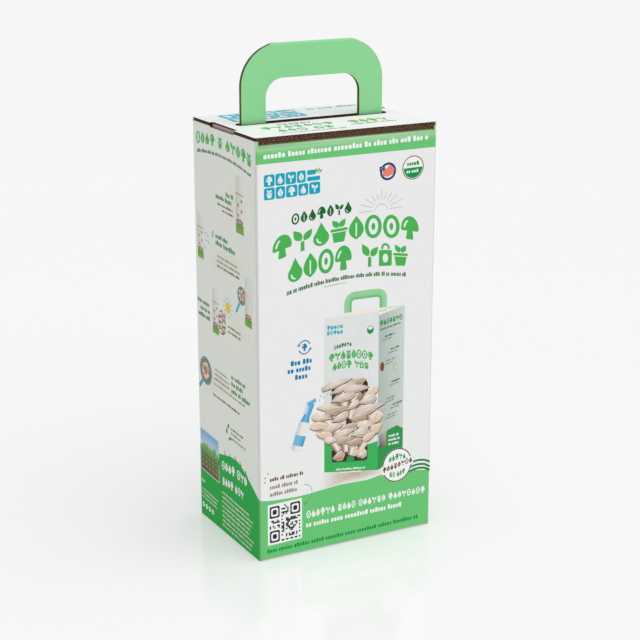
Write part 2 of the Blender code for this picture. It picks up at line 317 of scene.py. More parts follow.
def board_surface_group():
    """Coated liner over fluting: faint washboard ridges across the flutes, paper fibre, and handling sheen."""
    tree, given, out = new_group(
        "board_surface",
        [("Across", "Float", 0.0), ("Colour", "Color", (0.8, 0.8, 0.8)), ("Soil", "Float", 0.05)],
        [("Colour", "Color"), ("Roughness", "Float"), ("Height", "Float")],
    )
    where = object_place(tree)
    ridge = maths(tree, "SINE", maths(tree, "MULTIPLY", given["Across"], 2 * math.pi / (FLUTE_PITCH * MM)))
    broad = noise(tree, where, 18.0, 3.0)
    fibre = noise(tree, where, 1500.0, 2.0)
    ridge = maths(tree, "MULTIPLY", ridge, maths(tree, "MULTIPLY_ADD", broad, 0.5, 0.1))
    height = maths(tree, "MULTIPLY_ADD", fibre, 0.22, ridge)
    cloud = maths(tree, "SMOOTH_MIN", maths(tree, "SUBTRACT", noise(tree, where, 7.0, 4.0, 0.6), 0.42), 0.3, 0.05)
    soil = maths(tree, "MULTIPLY", maths(tree, "MAXIMUM", cloud, 0.0), given["Soil"])
    grain = maths(tree, "MULTIPLY_ADD", fibre, 0.05, 0.975)
    coloured = mix_colour(tree, soil, shaded(tree, given["Colour"], grain), (0.45, 0.44, 0.40))
    rough = maths(tree, "MULTIPLY_ADD", broad, 0.1, 0.52)
    return close_group(tree, out, {"Colour": coloured, "Roughness": rough, "Height": height})


def ink_finish_group():
    """Printing ink: solid colour that dries with a slight mottle and follows the paper's grain."""
    tree, given, out = new_group(
        "ink_finish",
        [("Ink", "Color", (0.1, 0.5, 0.2)), ("Mottle", "Float", 0.08)],
        [("Colour", "Color"), ("Roughness", "Float")],
    )
    where = object_place(tree)
    mottle = noise(tree, where, 260.0, 3.0, 0.6)
    broad = noise(tree, where, 24.0, 2.0)
    light = maths(tree, "MULTIPLY_ADD", maths(tree, "SUBTRACT", mottle, 0.5), given["Mottle"], 1.0)
    light = maths(tree, "MULTIPLY_ADD", maths(tree, "SUBTRACT", broad, 0.5), given["Mottle"], light)
    toned = shaded(tree, given["Ink"], light)
    rough = maths(tree, "MULTIPLY_ADD", mottle, 0.2, 0.26)
    return close_group(tree, out, {"Colour": toned, "Roughness": rough})


def raw_fibre_group():
    """Brown recycled paper where board is cut: streaks, pale torn fibres and dark crushed spots."""
    tree, given, out = new_group(
        "raw_fibre",
        [
            ("Dark", "Color", (0.1, 0.05, 0.03)),
            ("Pale", "Color", (0.3, 0.2, 0.12)),
            ("Streak", "Vector", (900.0, 900.0, 900.0)),
        ],
        [("Colour", "Color"), ("Roughness", "Float"), ("Height", "Float")],
    )
    where = object_place(tree)
    stretched = node(tree, "ShaderNodeVectorMath", {0: where, 1: given["Streak"]}, operation="MULTIPLY").outputs[0]
    streak = noise(tree, stretched, 1.0, 4.0, 0.65)
    spot = noise(tree, where, 700.0, 2.0)
    shade = maths(tree, "MULTIPLY_ADD", maths(tree, "SUBTRACT", spot, 0.5), 0.7, streak)
    shade = part_way(tree, shade, 0.25, 0.75)
    coloured = mix_colour(tree, shade, given["Dark"], given["Pale"])
    rough = maths(tree, "MULTIPLY_ADD", streak, 0.15, 0.8)
    return close_group(tree, out, {"Colour": coloured, "Roughness": rough, "Height": streak})


# A drawn curve only reaches from 0 to 1, so this many millimetres count as 1.
CURVE_REACH = 100


def curve_height(tree, position, points):
    """A height in metres that follows a drawn curve through (0 to 1 along, millimetres up) points."""
    drawn = node(tree, "ShaderNodeFloatCurve", {"Value": position})
    ridge = drawn.mapping.curves[0]
    ridge.points[0].location = (points[0][0], points[0][1] / CURVE_REACH)
    ridge.points[1].location = (points[-1][0], points[-1][1] / CURVE_REACH)
    for part, up in points[1:-1]:
        ridge.points.new(part, up / CURVE_REACH)
    drawn.mapping.update()
    return maths(tree, "MULTIPLY", drawn.outputs[0], 0.1)


# The rolling top edge of the green base on each wall: (position from the wall's left to its right, height in mm)
FRONT_HILL = (
    (0.0, 45.8), (0.06, 44.3), (0.15, 43.5), (0.25, 43.3), (0.4, 45.1),
    (0.57, 47.1), (0.68, 47.9), (0.8, 47.3), (0.9, 45.0), (1.0, 42.6),
)
LEFT_HILL = (
    (0.0, 56.0), (0.2, 57.5), (0.35, 59.0), (0.46, 61.3), (0.58, 63.3),
    (0.7, 62.0), (0.79, 57.9), (0.9, 51.9), (1.0, 45.8),
)
RIGHT_HILL = ((0.0, 42.6), (0.15, 40.0), (0.35, 41.5), (0.55, 48.5), (0.75, 54.0), (0.9, 55.0), (1.0, 53.5))
BACK_HILL = ((0.0, 53.5), (0.15, 49.0), (0.35, 47.5), (0.55, 50.0), (0.8, 55.5), (1.0, 56.0))
BAND_LOW = 282.2

# In metres: how far back the front's band reaches, how wide the painted shade line down a folded corner is, and where
# the painted highlight lies below the front's fold
BAND_BACK = -0.0435
CORNER_SHADE_WIDTH = 0.00175
HIGHLIGHT_LOW, HIGHLIGHT_HIGH = 0.2885, 0.2925

SIDE_TINT = (0.93, 0.96, 0.885)
# Painted shade: a grey drawn down each folded upright corner of the walls
CORNER_PAINTED_SHADE = (0.28, 0.3, 0.3)
# Painted highlight: a pale green that lightens the front's band just below its folded top
FOLD_HIGHLIGHT_GREEN = (0.72, 0.88, 0.66)


def wall_print_group():
    """Where the walls are printed green: a rolling base that runs round the carton, and a band over the front. It
    also paints a grey shade line down each folded corner, and a painted highlight on the band below the front's fold.
    """
    tree, given, out = new_group(
        "wall_print",
        [
            ("Paper", "Color", (0.8, 0.8, 0.8)),
            ("Light green", "Color", (0.2, 0.6, 0.2)),
            ("Deep green", "Color", (0.0, 0.4, 0.1)),
        ],
        [("Colour", "Color"), ("Mask", "Float")],
    )
    where = object_place(tree)
    x, y, z = node(tree, "ShaderNodeSeparateXYZ", {0: where}).outputs
    half_w, half_d = HALF_W * MM, HALF_D * MM
    over_x = part_way(tree, x, -half_w, half_w)
    over_y = part_way(tree, y, -half_d, half_d)
    back_x = maths(tree, "SUBTRACT", 1.0, over_x)
    left_y = maths(tree, "SUBTRACT", 1.0, over_y)
    front = curve_height(tree, over_x, FRONT_HILL)
    left = curve_height(tree, left_y, LEFT_HILL)
    right = curve_height(tree, over_y, RIGHT_HILL)
    back = curve_height(tree, back_x, BACK_HILL)
    edge = half_w - half_d
    reach_x = maths(tree, "ABSOLUTE", x)
    on_side = maths(tree, "GREATER_THAN", maths(tree, "SUBTRACT", reach_x, maths(tree, "ABSOLUTE", y)), edge)
    on_left = maths(tree, "MULTIPLY", on_side, maths(tree, "LESS_THAN", x, 0.0))
    side = maths(tree, "MULTIPLY_ADD", on_left, maths(tree, "SUBTRACT", left, right), right)
    on_back = maths(tree, "GREATER_THAN", y, 0.0)
    flat = maths(tree, "MULTIPLY_ADD", on_back, maths(tree, "SUBTRACT", back, front), front)
    hill = maths(tree, "MULTIPLY_ADD", on_side, maths(tree, "SUBTRACT", side, flat), flat)
    base = maths(tree, "LESS_THAN", z, hill)
    high = maths(tree, "GREATER_THAN", z, BAND_LOW * MM)
    facing = maths(tree, "LESS_THAN", y, BAND_BACK)
    band = maths(tree, "MULTIPLY", maths(tree, "MULTIPLY", high, facing), maths(tree, "SUBTRACT", 1.0, on_side))
    mask = maths(tree, "MAXIMUM", base, band)
    green = mix_colour(tree, on_side, given["Light green"], given["Deep green"])
    side_paper = mix_colour(tree, 1.0, given["Paper"], SIDE_TINT, "MULTIPLY")
    paper = mix_colour(tree, on_side, given["Paper"], side_paper)
    coloured = mix_colour(tree, mask, paper, green)
    # Painted shade: a thin grey line down each folded corner
    reach = maths(tree, "ADD", reach_x, maths(tree, "ABSOLUTE", y))
    corner = maths(tree, "GREATER_THAN", reach, half_w + half_d - CORNER_SHADE_WIDTH)
    coloured = mix_colour(tree, maths(tree, "MULTIPLY", corner, 0.3), coloured, CORNER_PAINTED_SHADE)
    # Painted highlight: the front band is lightened towards the fold at its top
    fold_highlight = maths(tree, "MULTIPLY", part_way(tree, z, HIGHLIGHT_LOW, HIGHLIGHT_HIGH, 0.42), band)
    coloured = mix_colour(tree, fold_highlight, coloured, FOLD_HIGHLIGHT_GREEN)
    return close_group(tree, out, {"Colour": coloured, "Mask": mask})


BOARD_SURFACE = board_surface_group()
INK_FINISH = ink_finish_group()
RAW_FIBRE = raw_fibre_group()
WALL_PRINT = wall_print_group()


def start_material(name, colour):
    material = bpy.data.materials.new(name)
    material.use_nodes = True
    material.diffuse_color = (*colour, 1.0)
    tree = material.node_tree
    return material, tree, tree.nodes["Principled BSDF"].inputs


def place_group(tree, group, values):
    made = tree.nodes.new("ShaderNodeGroup")
    made.node_tree = group
    for label, value in values.items():
        if isinstance(value, bpy.types.NodeSocket):
            tree.links.new(value, made.inputs[label])
        elif isinstance(value, tuple) and made.inputs[label].type == "RGBA":
            made.inputs[label].default_value = (*value, 1.0)
        else:
            made.inputs[label].default_value = value
    return made.outputs


def bump(tree, height, distance, strength=1.0):
    return node(tree, "ShaderNodeBump", {"Height": height, "Distance": distance, "Strength": strength}).outputs[0]


def wire(tree, shader, made, specular, relief=0.0):
    """Wires a group's colour, roughness and height to its shader."""
    tree.links.new(made["Colour"], shader["Base Color"])
    tree.links.new(made["Roughness"], shader["Roughness"])
    if relief:
        tree.links.new(bump(tree, made["Height"], relief), shader["Normal"])
    shader["Specular IOR Level"].default_value = specular


def board_material(name, colour, across, coat, soil, printed_walls=None):
    """A coated liner. across says which coordinates run across the flutes, as weights of x and y."""
    material, tree, shader = start_material(name, colour)
    where = object_place(tree)
    x, y, _ = node(tree, "ShaderNodeSeparateXYZ", {0: where}).outputs
    over = maths(tree, "MULTIPLY_ADD", x, across[0], maths(tree, "MULTIPLY", y, across[1]))
    base = colour
    if printed_walls:
        light, deep = printed_walls
        base = place_group(tree, WALL_PRINT, {"Paper": colour, "Light green": light, "Deep green": deep})["Colour"]
    made = place_group(tree, BOARD_SURFACE, {"Across": over, "Colour": base, "Soil": soil})
    wire(tree, shader, made, 0.2, 0.00003)
    shader["Coat Weight"].default_value = coat
    shader["Coat Roughness"].default_value = 0.3
    return material


INK_SPECULAR = 0.16


def ink_material(name, colour, mottle):
    material, tree, shader = start_material(name, colour)
    made = place_group(tree, INK_FINISH, {"Ink": colour, "Mottle": mottle})
    wire(tree, shader, made, INK_SPECULAR)
    return material


def fibre_material(name, dark, pale, streak):
    material, tree, shader = start_material(name, pale)
    made = place_group(tree, RAW_FIBRE, {"Dark": dark, "Pale": pale, "Streak": streak})
    wire(tree, shader, made, 0.25, 0.00012)
    return material


def picture_material(name):
    """Four-colour picture printing: each drawn patch holds its own colours, and the mottle goes over them."""
    material, tree, shader = start_material(name, (0.7, 0.6, 0.5))
    paint = node(tree, "ShaderNodeVertexColor", layer_name="paint").outputs["Color"]
    made = place_group(tree, INK_FINISH, {"Ink": paint, "Mottle": 0.12})
    wire(tree, shader, made, INK_SPECULAR)
    return material


PAPER_WHITE = srgb(240, 241, 240)
# Painted light: the lid's white is a little brighter than the walls' white of the same board, so the top reads
# lighter
LID_WHITE_PAINTED_LIGHT = srgb(246, 247, 246)
LIGHT_GREEN = srgb(106, 202, 118)
DEEP_GREEN = srgb(0, 170, 62)
HANDLE_GREEN = srgb(146, 220, 156)

WALL_LINER = board_material("printed_wall_liner", PAPER_WHITE, (1, 1), 0.0, 0.05, (LIGHT_GREEN, DEEP_GREEN))
LID_LINER = board_material("printed_lid_liner", LID_WHITE_PAINTED_LIGHT, (1, 0), 0.05, 0.04)
HANDLE_LINER = board_material("printed_handle_liner", HANDLE_GREEN, (1, 0), 0.03, 0.0)
FLAP_LINER = board_material("printed_flap_liner", LIGHT_GREEN, (0, 1), 0.05, 0.04)
# Painted shade: a darker, browner copy of the white liner for the tab's face, standing for the shadow between tab and
# wall, with heavy dirt clouds over it
TAB_LINER_PAINTED_SHADE = board_material("tab_liner_painted_shade", srgb(192, 176, 165), (1, 0), 0.0, 0.4)
KRAFT_LINER = fibre_material("kraft_liner", srgb(120, 88, 62), srgb(172, 134, 100), (900.0, 900.0, 120.0))
RAW_EDGE = fibre_material("raw_cut_edge", srgb(66, 42, 34), srgb(146, 106, 86), (220.0, 220.0, 2600.0))
# Painted shade: a darker copy of the raw cut edge, for cut edges that read dark in shade
CUT_EDGE_PAINTED_SHADE = fibre_material("cut_edge_painted_shade", srgb(38, 24, 18), srgb(88, 60, 46), (400.0, 400.0, 1600.0))
FLUTE_PAPER = fibre_material("fluting_paper", srgb(88, 56, 42), srgb(168, 124, 98), (500.0, 500.0, 500.0))

# Each ink: what it is called here, its material, its colour and its mottle
INKS = {
    key: ink_material(name, srgb(*colour), mottle)
    for key, name, colour, mottle in (
        ("white", "white_ink", (246, 248, 246), 0.02),
        ("title", "title_green_ink", (72, 182, 84), 0.08),
        ("dark", "dark_green_ink", (14, 104, 44), 0.08),
        ("base_dark", "forest_green_ink", (0, 132, 58), 0.08),
        ("light", "light_green_ink", (106, 202, 118), 0.08),
        ("deep", "deep_green_ink", (0, 150, 70), 0.08),
        ("leaf", "leaf_green_ink", (120, 186, 60), 0.08),
        ("teal", "teal_ink", (0, 170, 194), 0.08),
        ("cyan", "cyan_ink", (0, 186, 216), 0.04),
        ("blue", "blue_ink", (0, 128, 178), 0.08),
        ("sky", "sky_blue_ink", (112, 186, 222), 0.08),
        ("navy", "navy_ink", (34, 66, 112), 0.08),
        ("coral", "coral_ink", (240, 132, 118), 0.08),
        ("brown", "brown_ink", (112, 72, 48), 0.08),
        ("taupe", "taupe_ink", (150, 138, 120), 0.08),
        ("grey", "grey_ink", (196, 203, 206), 0.08),
        ("black", "black_ink", (38, 40, 44), 0.08),
        ("yellow", "yellow_ink", (236, 196, 40), 0.08),
        ("cream", "cream_ink", (228, 228, 208), 0.03),
        ("orange", "orange_ink", (206, 124, 56), 0.08),
    )
}
PICTURE_INK = picture_material("picture_ink")


# ---------------------------------------------------------------- carton walls


def tube(half_x, half_y, radius, wall, top, material):
    """Four walls folded from one sheet, open above and below."""
    made = block((-half_x, -half_y, 0), (half_x, half_y, top), material)
    select_parts(made, "FACE", lambda middle, normal: abs(normal.z) > 0.9)
    bpy.ops.mesh.delete(type="FACE")
    bpy.ops.object.mode_set(mode="OBJECT")
    round_edges(made, radius, upright, 6)
    return apply(made, "SOLIDIFY", thickness=wall * MM, offset=-1.0)


def window_loop(grow=0.0):
    """The tear-out window with its round thumb tab, seen from behind."""
    half, low, high, tab = 48 + grow, 24 - grow, 178 + grow, 9 + grow
    base, tab_top = [(-half, low, 10 + grow), (half, low, 10 + grow)], high + tab
    thumb = [(tab, high, 0), (tab, tab_top, tab * 0.99), (-tab, tab_top, tab * 0.99), (-tab, high, 0)]
    return rounded([*base, (half, high, 22 + grow), *thumb, (-half, high, 22 + grow)])


GROUND = plane((0, 0, 0), RIGHT, BACK)


def behind(y):
    """The place of a drawing that is seen from behind the carton."""
    return plane((0, y, 0), LEFT, UP)


def level(z):
    """The place of a drawing that is seen from above."""
    return Matrix.Translation((0, 0, z * MM)) @ GROUND


def wall_sleeve():
    """Outer and inner liner of the four walls, with fluting in every edge that shows."""
    top = INSERT_HIGH
    parts = []
    for half_x, half_y, radius, wall, liner in (
        (FACE_X, FACE_Y, 1.7, LINER, WALL_LINER),
        (HALF_W - 1.88, HALF_D - 1.88, 0.5, LINING, KRAFT_LINER),
    ):
        cutters = (
            block((-INNER_HALF, -60, FOLD_LOW), (INNER_HALF, -40, OVER_WALLS)),
            block((-INNER_HALF, -60, -5), (INNER_HALF, 60, 0.9)),
            block((-80, NOTCH[0], top - NOTCH_DEPTH), (80, NOTCH[1], OVER_WALLS)),
            block((-INNER_HALF, 40, top - 0.9), (INNER_HALF, 60, OVER_WALLS)),
            cut_sheet("window_cut", [window_loop()], 12, RAW_EDGE, behind(FACE_Y - 1.0)),
        )
        parts.append(cut_away(tube(half_x, half_y, radius, wall, top, liner), *cutters))
    core_x, core_y, core = HALF_W - 1.18, HALF_D - 1.18, 1.35
    for side in (-1, 1):
        for low, high, edge in ((-48.6, NOTCH[0], top), (*NOTCH, top - NOTCH_DEPTH), (NOTCH[1], 48.6, top)):
            parts.append(flutes((side * core_x, low, edge - 3), BACK, LEFT, 6, high - low, core))
        parts.append(flutes((side * core_x, -48.6, 3), BACK, LEFT, 6, 97.2, core))
        parts.append(flutes((-67.0, side * core_y, 4), RIGHT, BACK, 6, 134, core))
    parts.append(flutes((-67.0, core_y, top - 4), RIGHT, BACK, 6, 134, core))
    return join("carton_walls", parts)


def raw_rims(sheet, material=None):
    """Bare paper on the edges of a level sheet, where the die cut through its print."""
    sheet.data.materials.append(material or RAW_EDGE)
    for face in sheet.data.polygons:
        if abs(face.normal.z) < 0.5:
            face.material_index = len(sheet.data.materials) - 1
    return sheet


def bent_strip(name, outer, inner, half_width, material, place_x=0.0):
    """A crease: the end view of a bent board between two lines in the YZ plane, drawn across the width."""
    place = plane((place_x, 0, 0), BACK, UP)
    return cut_sheet(name, [outer + inner[::-1]], half_width * 2, material, place)


def arc(cx, cy, rx, ry, start, end, steps=10):
    """Points on an ellipse from one angle to another, in degrees."""
    turn = [math.radians(start + (end - start) * k / steps) for k in range(steps + 1)]
    return [(cx + rx * math.cos(t), cy + ry * math.sin(t)) for t in turn]


def front_fold():
    """The front wall's top, bent back into its tuck flap: printed liner outside, kraft inside."""
    y, z, radius = -FACE_Y, FOLD_Z, 1.9
    layers = []
    for depth, bend in ((0.0, radius), (LINER, radius - LINER), (1.9, 0.12)):
        turn = arc(y + radius, z - radius, bend, bend, 180, 90)
        layers.append([(y + depth, FOLD_LOW + 0.02)] + turn + [(-45.5, z - radius + bend)])
    skin = bent_strip("skin", layers[0], layers[1], 67.65, WALL_LINER)
    core = bent_strip("core", layers[1], layers[2], 67.4, RAW_EDGE)
    return join("front_top_fold", [skin, core])


def window_panel():
    """The panel that tears out, held by small nicks left in its cut line."""
    half, thick, spacing, shrink = 1.0, 0.22, 14.0, -0.3
    liner = cut_sheet("liner", [window_loop(shrink)], LINER, WALL_LINER, behind(FACE_Y - LINER / 2))
    core = cut_sheet("core", [window_loop(shrink - 0.1)], CORE, RAW_EDGE, behind(FACE_Y - LINER - 0.68))
    lining = cut_sheet("lining", [window_loop(shrink)], LINING, KRAFT_LINER, behind(HALF_D - 2.03))
    loop = window_loop(shrink / 2)
    nicks, travelled = [], 0.0
    for (x0, y0), (x1, y1) in zip(loop, loop[1:] + loop[:1]):
        length = math.hypot(x1 - x0, y1 - y0)
        while length > 0 and travelled <= length:
            t = travelled / length
            turn = math.atan2(y1 - y0, x1 - x0)
            cos, sin = math.cos(turn), math.sin(turn)
            cx, cy = x0 + (x1 - x0) * t, y0 + (y1 - y0) * t
            corners = [(-half, -thick), (half, -thick), (half, thick), (-half, thick)]
            nicks.append([(cx + a * cos - b * sin, cy + a * sin + b * cos) for a, b in corners])
            travelled += spacing
        travelled -= length
    bridge = cut_sheet("nicks", nicks, LINING, WALL_LINER, behind(FACE_Y - 0.2))
    return join("tear_out_window_panel", [liner, core, lining, bridge])


# ---------------------------------------------------------------- lid, insert and handle


SLOT_Y = HANDLE_Y - 0.6
SLOT_HALF = 3.5
SLOT_END = 58.6
LIP_HEIGHT = 0.5
LID_BACK = 47.4


def slot_cutter():
    """The die that punches the lid's slot, with round ends."""
    made = block((-SLOT_END, SLOT_Y - SLOT_HALF, UNDER_LID), (SLOT_END, SLOT_Y + SLOT_HALF, OVER_LID))
    return round_edges(made, SLOT_HALF * 0.97, upright)


def side_bays(reach, low, high):
    """Cutters for both sides of a level board, from this reach outwards."""
    return [block((x, low, UNDER_LID), (x + 10, high, OVER_LID)) for x in (reach, -reach - 10)]


def lid_board():
    parts = []
    for low, high, inset, material in (
        (LID_Z - LINER, LID_Z, 0.0, LID_LINER),
        (LID_LOW, LID_LOW + LINING, 0.05, KRAFT_LINER),
    ):
        x, y = FACE_X - inset, FACE_Y - inset
        liner = block((-x, -y, low), (x, LID_BACK, high), material)
        round_edges(liner, 1.6, lambda p, run: upright(p, run) and p.y < 0)
        # The lid's cut edges and its side cores take the painted-shade cut edge
        parts.append(raw_rims(cut_away(liner, slot_cutter(), *side_bays(TAB_FACE - TAB_BEND, *NOTCH)), CUT_EDGE_PAINTED_SHADE))
    middle, core = (LID_Z + LID_LOW) / 2, LID_Z - LID_LOW - LINER - LINING
    for y, length in ((3.1 - FACE_Y, 137.0), (SLOT_Y - SLOT_HALF - 3.1, 118.0), (SLOT_Y + SLOT_HALF + 3.1, 118.0)):
        parts.append(flutes((-length / 2, y, middle), RIGHT, UP, 6.0, length, core))
    for side in (-1, 1):
        for low, high in ((1.8 - FACE_Y, NOTCH[0] - 0.1), (NOTCH[1] + 0.1, LID_BACK)):
            x = sorted((side * (FACE_X - 0.12), side * (FACE_X - 0.5)))
            parts.append(block((x[0], low, middle - core / 2), (x[1], high, middle + core / 2), CUT_EDGE_PAINTED_SHADE))
        end_x = side * (SLOT_END - SLOT_HALF)
        ends = [arc(end_x, SLOT_Y, reach, reach, -90 * side, 90 * side) for reach in (4.2, 3.7)]
        parts.append(cut_sheet("slot_end", [ends[0] + ends[1][::-1]], core, RAW_EDGE, level(middle)))
        parts += tuck_tab(side)
    # Painted shade: a thin raised rim round the slot in the painted-shade cut edge, which shows as a dark line of
    # shade along the slot
    lip = []
    for grow in (0.3, 0.0):
        x0, x1, y0, y1 = -SLOT_END - grow, SLOT_END + grow, SLOT_Y - SLOT_HALF - grow, SLOT_Y + SLOT_HALF + grow
        lip.append(box_loop(x0, y0, x1, y1, (SLOT_HALF + grow) * 0.97, 8))
    parts.append(cut_sheet("slot_lip", lip, LIP_HEIGHT, CUT_EDGE_PAINTED_SHADE, level(LID_Z + LIP_HEIGHT / 2 - 0.05)))
    return join("lid_board", parts)


TAB_FACE = 67.5
TAB_BEND = 0.9
TAB_FOOT = 280.0


def tuck_tab(side):
    """A tab bent down from the lid's side, with its printed face outwards."""
    low, high = NOTCH[0] + 0.15, NOTCH[1] - 0.15
    centre = (TAB_FACE - TAB_BEND, LID_Z - TAB_BEND)
    outer, inner, lining = (arc(*centre, r, r, 90, 0) for r in (TAB_BEND, TAB_BEND - LINER, 0.1))
    place = plane((0, (low + high) / 2, 0), (side, 0, 0), UP)
    # The bend is in the painted-shade cut edge, which draws a dark shade line where the tab turns down
    made = [
        cut_sheet("bend", [outer + inner[::-1]], high - low, CUT_EDGE_PAINTED_SHADE, place),
        cut_sheet("bend", [inner + lining[::-1]], high - low - 0.2, RAW_EDGE, place),
    ]
    # The tab's outer face takes the painted-shade liner
    for depth, thick, inset, material in (
        (0.0, LINER, 0.0, TAB_LINER_PAINTED_SHADE),
        (LINER, CORE, 0.15, RAW_EDGE),
        (1.7, LINING, 0.0, KRAFT_LINER),
    ):
        x = sorted((side * (TAB_FACE - depth), side * (TAB_FACE - depth - thick)))
        tab = block((x[0], low + inset, TAB_FOOT + inset), (x[1], high - inset, LID_Z - TAB_BEND), material)
        made.append(round_edges(tab, 8, lambda p, run: abs(run.x) > 0.99 and p.z < TAB_FOOT + 1))
    return made


def lid_crease():
    """The back wall's liner carried over the top of the back into the lid."""
    y, z, radius = FACE_Y, LID_Z, 2.3
    start, end, lines = INSERT_HIGH - 0.9, 47.35, []
    for depth in (0.0, LINER):
        bend = arc(y - radius, z - radius, radius - depth, radius - depth, 0, 90, 12)
        lines.append([(y - depth, start)] + bend + [(end, z - depth)])
    return bent_strip("lid_crease_liner", *lines, FACE_X - 0.1, LID_LINER)


# How far back the front panel reaches, and where the back panel starts, at the handle's two creases
FRONT_PANEL_END, BACK_PANEL_START = -2.25, 5.35


def insert_board(name, front):
    """One flat panel of the handle's insert, which lies under the lid and narrows towards the handle."""
    wide, narrow, step = 67.35, 63.4, -22.0 if front else 25.0
    low, high = (-49.65, FRONT_PANEL_END) if front else (BACK_PANEL_START, 47.4)
    middle, core = (INSERT_HIGH + INSERT_LOW) / 2, INSERT_HIGH - INSERT_LOW - 2 * LINING
    parts = []
    for z, material in ((INSERT_HIGH - LINING, HANDLE_LINER), (INSERT_LOW, KRAFT_LINER)):
        corners = side_bays(narrow, *((step, 60) if front else (-60, step)))
        parts.append(raw_rims(cut_away(block((-wide, low, z), (wide, high, z + LINING), material), *corners)))
    parts.append(flutes((-67.1, low + 3.1 if front else high - 3.1, middle), RIGHT, UP, 6, 134.2, core))
    ends = (low + 0.2, step - 0.1) if front else (step + 0.1, high - 0.1)
    for side in (-1, 1):
        x = sorted((side * (wide - 0.1), side * (wide - 0.5)))
        parts.append(block((x[0], ends[0], middle - core / 2), (x[1], ends[1], middle + core / 2), RAW_EDGE))
    return join(name, parts)


HANDLE_TOP = 354.0 - 0.06
HANDLE_FOOT = 297.3
HANDLE_HALF = 55.3
HOLE_TOP = 330.0
HOLE_HALF = 36.8
HOLE_CORNER = 13.0
SHOULDER = 29.0
FOLD_RADIUS = 1.72
PLY = 1.6
PLY_LINING = 0.22
FOLD_RUN = math.pi / 2 * (FOLD_RADIUS - PLY / 2)
HANDLE_RUN = HANDLE_TOP - FOLD_RADIUS - HANDLE_FOOT + FOLD_RUN


def folded(corner):
    """Where a corner of the flat blank goes: x across, y away from the fold, z the depth below its printed face."""
    x, away, depth = corner / MM
    radius, centre = FOLD_RADIUS + depth, HANDLE_TOP - FOLD_RADIUS
    if abs(away) < FOLD_RUN:
        turn = away / FOLD_RUN * math.pi / 2
        return Vector((x, HANDLE_Y + radius * math.sin(turn), centre + radius * math.cos(turn))) * MM
    side = math.copysign(1.0, away)
    return Vector((x, HANDLE_Y + side * radius, centre + FOLD_RUN - abs(away))) * MM


def handle_ply(depth, thick, inset, material):
    """One layer of the handle: a flat blank like two arches top to top, folded double along the middle."""
    halves = []
    for side in (-1, 1):
        reach = sorted((0, side * HANDLE_RUN))
        half = HANDLE_HALF - inset
        arch = block((-half, reach[0], -depth - thick), (half, reach[1], -depth), material)
        round_edges(arch, SHOULDER - inset, lambda p, run: upright(p, run) and abs(p.y) < 0.01, 22)
        select_parts(arch, "FACE", lambda p, normal: abs(p.y) < 0.01)
        bpy.ops.mesh.delete(type="FACE")
        bpy.ops.object.mode_set(mode="OBJECT")
        halves.append(arch)
    blank = join("ply", halves)
    tidy_normals(blank)
    hole_top = HANDLE_RUN - (HOLE_TOP - HANDLE_FOOT) - inset
    for side in (-1, 1):
        reach = sorted((side * hole_top, side * 80))
        hole = block((-HOLE_HALF - inset, reach[0], -5), (HOLE_HALF + inset, reach[1], 5))
        cut_away(blank, round_edges(hole, HOLE_CORNER + inset, lambda p, run: upright(p, run) and abs(p.y) < 50, 14))
    for step in range(-6, 7):
        only(blank)
        bpy.ops.object.mode_set(mode="EDIT")
        bpy.ops.mesh.select_all(action="SELECT")
        bpy.ops.mesh.bisect(plane_co=(0, FOLD_RUN * step / 6 * MM, 0), plane_no=(0, 1, 0))
        bpy.ops.object.mode_set(mode="OBJECT")
    for corner in blank.data.vertices:
        corner.co = folded(corner.co)
    return blank


def handle_board():
    # The middle ply's cut edge is in the painted-shade copy of the cut edge
    layers = (
        (0.0, LINER, 0.0, HANDLE_LINER),
        (LINER, PLY - LINER - PLY_LINING, 0.1, CUT_EDGE_PAINTED_SHADE),
        (PLY - PLY_LINING, PLY_LINING, 0.06, KRAFT_LINER),
    )
    return join("handle_board", [handle_ply(*layer) for layer in layers])


def foot_crease(name, side):
    """The crushed crease that joins an insert panel to one ply of the handle, at both legs."""
    start = FRONT_PANEL_END if side < 0 else BACK_PANEL_START
    face, back = HANDLE_Y + side * FOLD_RADIUS, HANDLE_Y + side * (FOLD_RADIUS - PLY)
    above = [(start, INSERT_HIGH - 0.02), (face, HANDLE_FOOT)]
    below = arc(start, HANDLE_FOOT, back - start, HANDLE_FOOT - INSERT_LOW, -90, 0)
    made = join(name, [bent_strip("leg", below, above, 9.0, HANDLE_LINER, x) for x in (-46.0, 46.0)])
    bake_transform(made)


carton_walls = wall_sleeve()
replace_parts(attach(carton_walls, "carton"), "carton_sleeve")
fold = front_fold()
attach(fold, "carton")
window = window_panel()
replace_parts(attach(window, "carton"), "tear_out_window")
lid = lid_board()
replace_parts(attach(lid, "lid"), "lid_flap")
crease = lid_crease()
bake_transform(crease)
for panel_name, is_front, node_name in (
    ("insert_front_board", True, "insert_front_panel"),
    ("insert_back_board", False, "insert_back_panel"),
):
    panel = insert_board(panel_name, is_front)
    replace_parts(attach(panel, "carton"), node_name)
grip = handle_board()
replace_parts(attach(grip, "handle"), "handle")
foot_crease("handle_front_crease", -1)
foot_crease("handle_back_crease", 1)

for material, names in (
    (FLAP_LINER, ("bottom_left_flap", "bottom_right_flap")),
    (KRAFT_LINER, ("bottom_front_flap", "bottom_back_flap", "front_tuck_flap", "glue_flap")),
):
    for name in names:
        CAD[name].data.materials.clear()
        CAD[name].data.materials.append(material)


# ---------------------------------------------------------------- kit inside


KIT_Y = -0.8
BLOCK_HALF = (63.1, 44.4)
BLOCK_LOW = 6.3
BLOCK_HIGH = 221.0
BLOCK_CORNER = 12.0
FILM = 0.14
BOOKLET_HALF = (59.0, 42.0)
BOOKLET_LOW = 226.6
BOOKLET_HIGH = 229.0
BOTTLE_START = -54.0
BOTTLE_Z = 244.3
BOTTLE_RADIUS = 15.0


